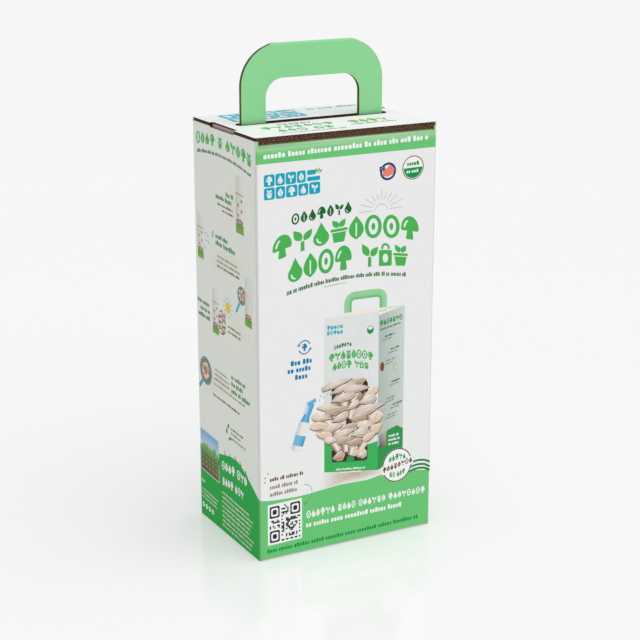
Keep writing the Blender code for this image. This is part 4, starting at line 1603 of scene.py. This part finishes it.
def kit_picture(art):
    """The front's large picture: the opened kit with mushrooms growing out of its window."""
    picture = art.picture
    face, face_edge = srgb(228, 232, 231), srgb(218, 224, 223)
    side_light, side_dark = srgb(206, 216, 210), srgb(176, 190, 182)
    mint, mint_dark = srgb(150, 214, 156), srgb(108, 180, 120)
    glow = [(-22, 44), (-6, 45), (16, 44), (34, 46), (30, 52), (24, 56), (0, 58), (-20, 58)]
    picture.patch(glow, PAPER_WHITE, srgb(196, 176, 150), PAPER_WHITE)
    path = [(0, 167.5), (0, 175)] + [(x + 5.2, y) for x, y in arc(0, 175.2, 5.2, 5, 180, 90, 6)]
    path += arc(23, 174.6, 5.4, 5, 90, 0, 6) + [(28.4, 165.6)]
    picture.ribbon(path, 5.8, mint_dark, mint, mint)
    picture.corners([(-18.5, 56.5), (25, 49.5), (25, 166), (-18.5, 167.4)], face_edge, face, face, face)
    lid_top = [(-18.5, 167.4), (25, 166), (46, 167), (24, 168.6), (-3, 168.8)]
    picture.corners(lid_top, PALE, PALE, side_light, PALE, PALE)
    picture.corners([(25, 49.5), (46, 55), (46, 167), (25, 163)], side_dark, side_light, side_light, side_dark)
    green, green_side = srgb(60, 180, 92), srgb(44, 152, 76)
    picture.corners([(-18.5, 56.5), (25, 49.5), (25, 71), (16, 70), (-4, 75), (-18.5, 79)], green)
    picture.corners([(25, 49.5), (46, 55), (46, 76.5), (41, 79.7), (33, 77.5), (27, 69), (25, 66)], green_side)
    window = rounded([(-12.6, 62.5, 2), (16.6, 58.5, 2), (16.6, 119, 6), (-12.6, 122, 6)], 4)
    picture.patch(window, DARK_UMBER, srgb(74, 60, 48), srgb(48, 36, 30))
    for cap in ((-3, 73, 20, 6, 4, 1), (8, 67, 15, 7, -8, 3), (-7, 66, 10, 7, 12, 1), (12, 64, 8, 7, 20, 0)):
        oyster_cap(picture, *cap)
    picture.corners([(-1, 60.2), (6, 59.4), (5, 64), (0, 64.4)], green_side)
    mushroom_cluster(picture, 0, 92)
    art.marks("teal", "mushroom pot drop ring pot", -16.6, -3.8, 158.6, (162, 161.6, 161), KIT_LAYER, 0.05)
    small_row = ((155, 154.8, 154.4), (158.2, 157.9, 157.5))
    art.marks("teal", "pot ring mushroom drop pot", -16.6, -3.8, *small_row, KIT_LAYER, 0.05)
    art.ink("deep", [oval(18.1, 153.6, 2.7, 3.0)], KIT_LAYER)
    art.ink("white", [oval(18.1, 154.9, 1.7, 1.2)], KIT_LAYER + 1)
    title(
        art,
        (-15, 20.5, (135.5, 135.3, 131), (140.8, 142, 136.6)),
        (-12, 17, (128.6, 128.7, 125), (134.2, 134.4, 130)),
        (-11, 3, (143.6, 144.6, 144.4), (146.6, 147.8, 147.2)),
        KIT_LAYER,
    )
    side_row = ((154.5, 156, 157), (158.8, 160.2, 161.2))
    art.marks("deep", "mushroom drop ring leaf pot sprout ring", 26, 44, *side_row, KIT_LAYER)
    art.words("base_dark", 26, 44, 151.5, 153, 4, rise=3, layer=KIT_LAYER)
    for row, low in enumerate((146, 136, 128, 112, 100, 95, 88)):
        x = 30 + (row * 5) % 9
        colour = ("dark", "deep", "taupe", "dark", "taupe", "dark", "taupe")[row]
        art.words(colour, x, x + 8, low, low + 1.6, row, 0.1, rise=1.4, layer=KIT_LAYER)
        art.words("taupe", x - 2, x + 6, low - 2.4, low - 1.2, row + 3, rise=1.4, layer=KIT_LAYER)
    picture.patch(oval(28, 125, 1.6, 3.4), srgb(150, 60, 40), UMBER)
    picture.patch(oval(39, 123, 1.4, 2.4), srgb(160, 200, 90), CREAM)
    art.words("white", -9, 15, 56, 57.4, 8, 0.1, rise=-3.2, layer=KIT_LAYER)
    art.words("white", -6, 12, 53.4, 54.6, 2, 0.1, rise=-2.4, layer=KIT_LAYER)
    art.layer = KIT_LAYER
    art.paragraph("white", 34, 44, 75, 66, 3, 3)
    art.layer = 1
    shelf = (srgb(60, 70, 90), srgb(180, 120, 70), srgb(200, 190, 170), srgb(120, 160, 190))
    picture.corners([(26.4, 65), (32, 66.6), (32, 77.4), (26.4, 75)], *shelf)


def spray_bottle(art):
    """A pictured bottle that leans towards the mushrooms, with its mist."""
    blue, blue_dark, clear = srgb(112, 190, 226), srgb(64, 146, 196), srgb(226, 238, 244)
    for points, widths, *colours in (
        ([(-40.8, 77), (-37.5, 86), (-34, 96)], [8, 8.6, 7.6], clear, PALE, srgb(190, 210, 222)),
        ([(-39.6, 80), (-37.2, 87)], 8.3, blue_dark, blue, blue),
        ([(-34, 96), (-32.2, 101)], [6.8, 4.4], blue_dark, blue, blue_dark),
        ([(-32.2, 101), (-29.4, 108.6)], [5.2, 6.2], blue_dark, blue, clear),
        ([(-31.8, 108.2), (-25.2, 110.6)], [3.2, 2.2], blue_dark, blue, blue),
    ):
        art.picture.ribbon(points, widths, *colours)
    for u, v, r in (
        (-21.5, 112.5, 0.5), (-19, 111, 0.42), (-19.6, 114.4, 0.42), (-16.6, 115.6, 0.36), (-16.4, 112.6, 0.36),
        (-22.4, 109.6, 0.4), (-14.6, 117.6, 0.3),
    ):
        art.ink("sky", [oval(u, v, r, r * 1.3, steps=8)], KIT_LAYER)


def sunburst(art, x, y):
    """A half sun of thin rays over the title."""
    for k, far in enumerate((17.5, 17.5, 15.5, 13.5, 12.5, 14.5, 12.5, 13.5, 15.5, 17.5, 18)):
        a = math.radians(18 * k)
        near = 7.5 if k % 5 else 6.6
        ray = [(x + reach * math.cos(a), y + reach * math.sin(a)) for reach in (near, far)]
        art.ink("grey", [line(ray, 0.5)])
    art.ink("grey", [line(arc(x, y, 4.6, 4.2, 0, 180, 12), 0.5)])


def round_seal(art):
    for k, (low, high) in enumerate(((49.9, 46.8), (46.8, 43.2), (44.0, 40.6))):
        wave = [(50 + k, low - 1.4), (55, low - 0.2), (60, low + 0.1), (65, low - 0.8), (69.6, high)]
        art.ink("base_dark", [line(wave, 1.5)])
    art.ink("brown", hoop(41.4, 50.0, 12.4, 0.8), 12)
    art.ink("white", [oval(41.4, 50.0, 12.5, steps=36)], 11)
    art.marks("deep", "leaf drop mushroom sprout drop", 34.6, 48.6, (52.6, 53.8, 52.8), (56.8, 58.6, 57), 12)
    art.ink("white", [line([(28.5, 47.6), (54.8, 51.6)], 6.2)], 13)
    ribbon = ((45.9, 48.0, 49.6), (50.0, 52.2, 54.0))
    art.marks("brown", "mushroom leaf drop pot leaf sprout ring drop", 29.4, 54.2, *ribbon, 14)
    art.marks("deep", "pot ring - drop leaf mushroom", 35.2, 48.2, (42.2, 41.2, 42.8), (46, 45.4, 46.8), 14)


def front_art():
    art = Print("front", "carton", (0, -FACE_Y, 0), (1, 0, 0), (0, 0, 1), rise=3.5, tilt=0.02)
    art.words("white", -64, 63, 285.2, 289.0, 4, 0.12)
    emblem(art, -63.9, 256.8, -21.8, 274.2)
    art.ink("navy", hoop(31, 265.8, 6.4, 1.7))
    patch = [(27, 263, 1), (31, 262, 0.5), (35.6, 264, 1), (36, 267.5, 1), (32.5, 270.4, 1)]
    patch += [(30, 268, 0.6), (26.6, 268, 1)]
    art.ink("coral", [rounded(patch, 3)], 2)
    art.ink("navy", [bar(24.2, 266.6, 28.4, 269.8, 0.4)], 3)
    art.ink("white", [oval(x, y, 0.3, steps=8) for x, y in ((25.4, 268.2), (26.7, 268.9), (26.6, 267.4))], 4)
    garden_badge(art, 51, 266.2)
    sunburst(art, 26, 239)
    title(
        art,
        (-58, 56.5, (213.2, 220.4, 212.6), (229.4, 237.2, 229.4)),
        (-46.5, 48, (196.3, 199.8, 195.4), (213.0, 217.3, 210.6)),
        (-43.6, 2.5, (236.8, 238.8, 239.9), (244.6, 247.2, 248.4)),
    )
    art.ink("dark", arched(word_strip(40, 6, -0.02), -47.4, 46.3, (188.2, 193, 187.8), (191.9, 196, 191.2)))
    art.ink("taupe", [line([(-19, 190.0), (-10, 190.5), (-1.2, 190.6)], 0.35)])
    kit_picture(art)
    spray_bottle(art)
    for start in (20, 200):
        art.ink("blue", [line(arc(-34, 149.6, 4.5, 4.7, start, start + 130, 10), 0.8)])
    for side in (1, -1):
        x, y = -34 + 4.5 * side, 149.6 - 1.2 * side
        art.ink("blue", [[(x - 1.3, y), (x + 1.3, y), (x, y - 1.8 * side)][:: 1 if side < 0 else -1]], 2)
    art.ink("blue", moved(MARKS["mushroom"][0], -34, 146.9, 5.4))
    for left, low, seed in ((-44.7, 137.8, 1), (-47.2, 132.7, 5), (-41.4, 127.4, 2)):
        art.words("blue", left, -28.4, low, low + 3.6, seed, 0.12)
    for colour, left, right, low, seed in (
        ("brown", -61.5, -34.8, 58.4, 7), ("taupe", -61.5, -39.4, 52.8, 3), ("taupe", -61.5, -39.6, 47.6, 9),
    ):
        art.words(colour, left, right, low, low + 2.8, seed)
    art.ink("deep", leaves(2.0, 0.8, (-64.6, 58.6, 180), (-64.4, 61.4, 150), (-62.4, 63.6, 110)))
    arrow_head = [(-35.4, 36.2), (-32.8, 38.6), (-32.6, 36.4)]
    art.ink("taupe", [line(arc(-35.5, 44.2, 7.2, 7.0, 82, -75, 12), 0.35), arrow_head])
    mosaic(art, -63.4, 12.6, -36.4, 41.8)
    round_seal(art)
    wide = "ring drop leaf mushroom sprout drop - pot leaf drop ring - ring leaf drop sprout pot leaf"
    wide += " - mushroom drop leaf sprout ring drop ring mushroom"
    art.marks("white", wide, -32.8, 65.6, (25.8, 25.6, 24.6), (31.4, 30.8, 29.4), gap=0.14)
    art.words("white", -33.2, 47.4, 19.4, 22.9, 5, 0.08, rise=-1.2)
    art.words("deep", -63.9, 61.8, 7.2, 10.1, 2, 0.1, rise=-1.0)
    return art


def step_circle(art, x, y, radius, seed, handle, thick):
    """A picture in a round teal frame, like a magnifying glass or a pan, with its handle."""
    art.ink("teal", hoop(x, y, radius, radius * 0.16) + [line(handle, thick)], 6)
    art.picture.patch(oval(x, y, radius * 0.86, steps=16), srgb(150, 104, 66), srgb(176, 132, 90))
    for k in range(6):
        a = math.radians(60 * k + seed * 20)
        cap_x, cap_y = x + radius * 0.45 * math.cos(a), y + radius * 0.45 * math.sin(a)
        oyster_cap(art.picture, cap_x, cap_y, radius * 0.6, radius * 0.34, 60 * k, (k + seed) % 4)


# Every line of small print on a side wall: (colour, left, right, low, high, seed)
SIDE_LINES = (
    ("base_dark", 3.5, 15, 249.4, 252.6, 1), ("base_dark", -13, 15, 244.8, 248.2, 4),
    ("brown", -10, 15, 240.4, 242.4, 2), ("brown", -3, 15, 237.0, 239.0, 6),
    ("base_dark", -14.5, 5, 215.6, 218.8, 3), ("base_dark", -14.5, 20, 210.6, 214.2, 8),
    ("taupe", -11.7, 20, 202.2, 204.0, 2), ("taupe", -12.7, 25, 198.6, 200.6, 5),
    ("brown", -12.8, 23.7, 195.0, 197.0, 7), ("base_dark", -46.6, -25.4, 160.8, 163.8, 2),
    ("base_dark", -42.4, -25.2, 155.8, 158.8, 6), ("base_dark", -46, -25, 150.8, 153.8, 9),
    ("brown", 3.5, 24, 155.4, 157.2, 1), ("brown", 3.4, 23.5, 151.8, 153.6, 8),
    ("base_dark", 7.6, 29.6, 119.4, 122.6, 5), ("base_dark", 7.6, 27, 114.4, 117.6, 1),
    ("base_dark", 7.5, 38, 109.2, 112.6, 7), ("taupe", -20, 1.5, 117.0, 118.6, 3),
    ("taupe", -20.4, 4, 113.4, 115.0, 9), ("brown", -21, 4, 110.0, 111.6, 4),
    ("taupe", -21.8, 30, 105.8, 107.4, 6), ("brown", -23.5, 20, 97.2, 99.2, 2),
    ("brown", 5.6, 25.7, 81.6, 83.2, 5), ("taupe", 5.6, 22, 78.2, 79.8, 1), ("taupe", 5.6, 29, 74.6, 76.2, 4),
)


def side_art(name, place_x, right):
    """A side wall: a title, four steps with small pictures, and the green base with its planting notes."""
    art = Print(name, "carton", (place_x, 0, 0), right, (0, 0, 1), rise=4.2, tilt=-0.04, layer=5)
    picture = art.picture
    heading = "ring leaf drop mushroom - pot - drop sprout leaf mushroom pot"
    art.marks("title", heading, -44, 43.8, (277.6, 282, 278.2), (286.8, 290.4, 288), 1)
    art.ink("dark", arched(word_strip(44, 9), -43, 42.8, (271.4, 275.6, 271.8), (274.2, 278, 274.2)), 1)
    for x, y, rx, ry in ((20, 246, 26, 20), (6, 203, 34, 13), (22, 158, 24, 16), (-8, 110, 34, 15)):
        picture.patch(oval(x, y, rx, ry, 8, 24), srgb(234, 237, 228), srgb(224, 228, 212))
    little_kit(art, 25, 228, 40)
    for row in SIDE_LINES:
        art.words(*row, 0.06)
    little_kit(art, -40.2, 194, 33)
    mist = ((-33, 214, 20), (-31, 209.5, 0), (-33.4, 205, -30), (-29, 213, 25), (-27.6, 209, 0))
    art.ink("sky", leaves(3.2, 1.0, *mist))
    art.ink("teal", [line([(-19.2, 214.6), (-18.6, 219.4)], 1.6)])
    little_kit(art, -16.8, 144.5, 33)
    picture.patch(oval(-6, 156, 6, 9, steps=18), srgb(120, 78, 50), srgb(176, 140, 106))
    for k in range(8):
        oyster_cap(picture, -8.6 + (k % 2) * 5, 149 + k * 2.1, 6.4, 3.2, 14 - (k % 3) * 14, k % 4)
    sun_x, sun_y, reach = 4.2, 169.6, 5.4
    art.ink("yellow", [oval(sun_x, sun_y, 4.0, steps=24)])
    for a in (math.tau * k / 12 for k in range(12)):
        art.ink("sky", [leaf(sun_x + reach * math.cos(a), sun_y + reach * math.sin(a), 2.6, 0.9, math.degrees(a))])
    step_circle(art, 26.2, 184.6, 6.6, 1, [(22.6, 178.4), (17.2, 170.4)], 2.2)
    little_kit(art, 36.4, 165.4, 34)
    step_circle(art, -35.4, 111.4, 10.4, 4, [(-41.4, 102.6), (-47.2, 96.6)], 2.8)
    art.ink("base_dark", leaves(4.4, 2.6, (0.6, 80.6, 70), (-1, 76.2, 100), (1.8, 73.4, 20)))
    garden_scene(art, -46.8, 34.6, -16.4, 64.8)
    seedling = [MARKS["sprout"][0][0], *leaves(0.5, 0.26, (0, 0.4, 20), (0, 0.88, 160)), leaf(0, 0.46, 0.6, 0.3, 95)]
    for x, size in ((-5.4, 3.4), (3.2, 3.0), (12.4, 3.6), (20.2, 3.8), (29.6, 5.4)):
        ground = 60.2 - abs(x - 11) * 0.12 - (4.2 if x > 26 else 0)
        art.ink("base_dark", moved(seedling, x, ground, size))
    for names, *row in (
        ("ring leaf drop mushroom - ring sprout leaf", -10.7, 30.4, (46.4, 48.4, 48.8), (53.0, 55.6, 55.8)),
        ("pot drop leaf mushroom - drop ring sprout", -10.3, 24.6, (35.2, 36.8, 37.0), (41.6, 43.4, 43.4)),
    ):
        art.marks("white", names, *row, gap=0.14)
    art.paragraph("cream", -11, 40, 32.2, 4.4, 8, 3, 0.5)
    art.words("cream", -46.4, -40.4, 24.6, 26.8, 2, 0.1)
    art.paragraph("cream", -46.4, -17, 21.4, 12.6, 3, 5, 0.5)
    for x in (-44.4 + 5.4 * k for k in range(4)):
        art.ink("white", [oval(x, 7.4, 1.9, steps=14), oval(x, 7.4, 0.8, steps=8)])
    return art


def garden_scene(art, x0, y0, x1, y1):
    """A framed picture of raised beds under a blue sky."""
    picture = art.picture
    art.ink("white", [bar(x0 - 0.6, y0 - 0.6, x1 + 0.6, y1 + 0.6, 0.2)], 3)
    sky_high, sky_low = srgb(108, 170, 214), srgb(210, 226, 232)
    horizon = y0 + (y1 - y0) * 0.5
    picture.panel(x0, horizon, x1, y1, sky_low, sky_low, sky_high, sky_high)
    soil = (srgb(96, 62, 40), srgb(120, 78, 48), srgb(70, 120, 60), srgb(60, 100, 50))
    picture.panel(x0, y0, x1, horizon, *soil)
    for k in range(7):
        bush = oval(x0 + (x1 - x0) * (0.08 + 0.14 * k), horizon + (k % 3), 3.2, 4.4 + k % 2, steps=14)
        picture.patch(bush, srgb(40, 96, 44), srgb(84, 150, 66), srgb(130, 186, 90))
    planks = (srgb(54, 36, 26), srgb(70, 46, 32), srgb(150, 104, 66), srgb(132, 90, 58))
    for k in range(4):
        y = y0 + 2 + 3.4 * k
        picture.corners([(x0 + 1, y), (x1 - 1, y), (x1 - 2, y + 1.7), (x0 + 2, y + 1.7)], *planks)
        for j in range(5):
            plant = oval(x0 + 4 + 5.6 * j, y + 2.2, 1.8, 1.3, steps=10)
            picture.patch(plant, srgb(52, 112, 48), srgb(120, 180, 70))


def back_art():
    art = Print("back", "carton", (0, FACE_Y, 0), (-1, 0, 0), (0, 0, 1))
    emblem(art, -62, 262, -24, 278)
    garden_badge(art, 50, 268)
    title(
        art,
        (-52, 52, (221, 226.6, 220.6), (235, 242.4, 234.6)),
        (-42, 43, (205.4, 208.6, 205), (220, 223.4, 217.8)),
        (-40, 4, (242.6, 244.6, 245.8), (249.8, 252.2, 253.4)),
    )
    art.words("dark", -43, 43, 198.6, 201.8, 6)
    art.marks("white", "leaf drop mushroom ring - pot leaf sprout drop mushroom", -34, 34, 12.4, 17.4, gap=0.14)
    art.words("white", -40, 40, 6.6, 9.2, 4, 0.08)
    art.ink("dark", [line([(-3.5, 181.5), (0, 178.6), (3.5, 181.5)], 0.8)])
    return art


def level_rows(art, *rows):
    """Level rows of garden marks: (colour, names, left, right, low, high)."""
    for row in rows:
        art.marks(*row, gap=0.14)


TITLE_ROWS = ("mushroom sprout drop pot leaf ring mushroom", "drop leaf ring - carton pot")


def lid_art():
    art = Print("lid", "lid", (0, 0, LID_Z), (1, 0, 0), (0, 1, 0))
    emblem(art, -54, 14, 4, 44, "cyan")
    art.words("cyan", 15, 36, 37, 42, 5, 0.1)
    art.words("deep", 40, 61, 38, 43, 8, 0.1)
    level_rows(
        art,
        ("dark", "ring leaf drop mushroom leaf sprout", -34, -8, -13, -8),
        ("title", TITLE_ROWS[0], -50, 4, -24, -15),
        ("title", TITLE_ROWS[1], -44, -2, -36, -27),
        ("leaf", "mushroom leaf mushroom sprout", 16, 46, -28, -16),
    )
    art.words("dark", -46, 4, -42, -39.6, 6)
    art.words("base_dark", 12, 48, -33, -30, 3, 0.1)
    return art


def booklet_art():
    """The booklet's cover: a green band, two rows of garden marks and a cluster of mushrooms."""
    art = Print("booklet_cover", "carton", (0, KIT_Y, BOOKLET_HIGH), (1, 0, 0), (0, 1, 0), "booklet_paper")
    art.ink("light", [bar(-56, -40, 57, -27, 0.5)], 0)
    art.words("white", -50, 50, -36, -31.6, 5, 0.1)
    level_rows(art, ("title", TITLE_ROWS[0], -50, 6, 20, 32), ("title", TITLE_ROWS[1], -46, 2, 4, 15))
    art.words("dark", -48, 4, -3, 0, 6)
    art.paragraph("taupe", -48, 4, -7, -22, 4, 3)
    mushroom_cluster(art.picture, 33, 4, 0.75)
    return art


for artwork in (
    front_art(),
    booklet_art(),
    side_art("left", -FACE_X, (0, -1, 0)),
    side_art("right", FACE_X, (0, 1, 0)),
    back_art(),
    lid_art(),
):
    artwork.finish()


# ---------------------------------------------------------------- stage, light and camera


FLOOR_SIZE = 24.0
FLOOR_GREY = (0.62, 0.62, 0.62, 1.0)
FLOOR_GLOW = 0.305
WHITE = (1.0, 1.0, 1.0, 1.0)
SKY_STRENGTH = 0.6


def studio():
    """A white floor that glows a little, and an even white sky."""
    bpy.ops.object.select_all(action="DESELECT")
    bpy.ops.mesh.primitive_plane_add(size=1, location=(0, 0.6, -0.0002))
    floor = bpy.context.object
    floor.name = "floor"
    floor.scale = (FLOOR_SIZE, FLOOR_SIZE, 1.0)
    bpy.ops.object.transform_apply()
    material, tree, shader = start_material("white_acrylic_floor", (0.9, 0.9, 0.9))
    shader["Base Color"].default_value = FLOOR_GREY
    shader["Emission Color"].default_value = WHITE
    shader["Emission Strength"].default_value = FLOOR_GLOW
    where = object_place(tree)
    tree.links.new(maths(tree, "MULTIPLY_ADD", noise(tree, where, 3.0), 0.04, 0.1), shader["Roughness"])
    floor.data.materials.append(material)

    world = bpy.data.worlds.new("studio") if bpy.context.scene.world is None else bpy.context.scene.world
    bpy.context.scene.world = world
    world.use_nodes = True
    sky = world.node_tree.nodes["Background"].inputs
    sky["Color"].default_value = WHITE
    sky["Strength"].default_value = SKY_STRENGTH


def broad_light(name, place, power, spread):
    """A softbox so far and so wide that it lights the floor evenly. spread is how wide it looks, in degrees."""
    light = bpy.data.lights.new(name, "SUN")
    light.energy = power
    light.angle = math.radians(spread)
    made = bpy.data.objects.new(name, light)
    bpy.context.scene.collection.objects.link(made)
    made.location = place
    made.rotation_euler = (-Vector(place)).to_track_quat("-Z", "Y").to_euler()


CAMERA_AZIMUTH = math.radians(-28.47)
CAMERA_ELEVATION = math.radians(16.51)
CAMERA_DISTANCE = 1.166
CAMERA_AIM = Vector((0.0051, 0.0, 0.1533))
CAMERA_LENS = 90.8


def studio_camera():
    camera = bpy.data.cameras.new("camera")
    camera.lens = CAMERA_LENS
    camera.sensor_width = 36.0
    made = bpy.data.objects.new("camera", camera)
    bpy.context.scene.collection.objects.link(made)
    flat = math.cos(CAMERA_ELEVATION)
    away = Vector((math.sin(CAMERA_AZIMUTH) * flat, -math.cos(CAMERA_AZIMUTH) * flat, math.sin(CAMERA_ELEVATION)))
    made.location = CAMERA_AIM + away * CAMERA_DISTANCE
    made.rotation_euler = (-away).to_track_quat("-Z", "Y").to_euler()
    bpy.context.scene.camera = made


studio()
broad_light("front_softbox", (0.75, -1.5, 3.3), 1.48, 75)
studio_camera()
bpy.context.scene.view_settings.view_transform = "Standard"
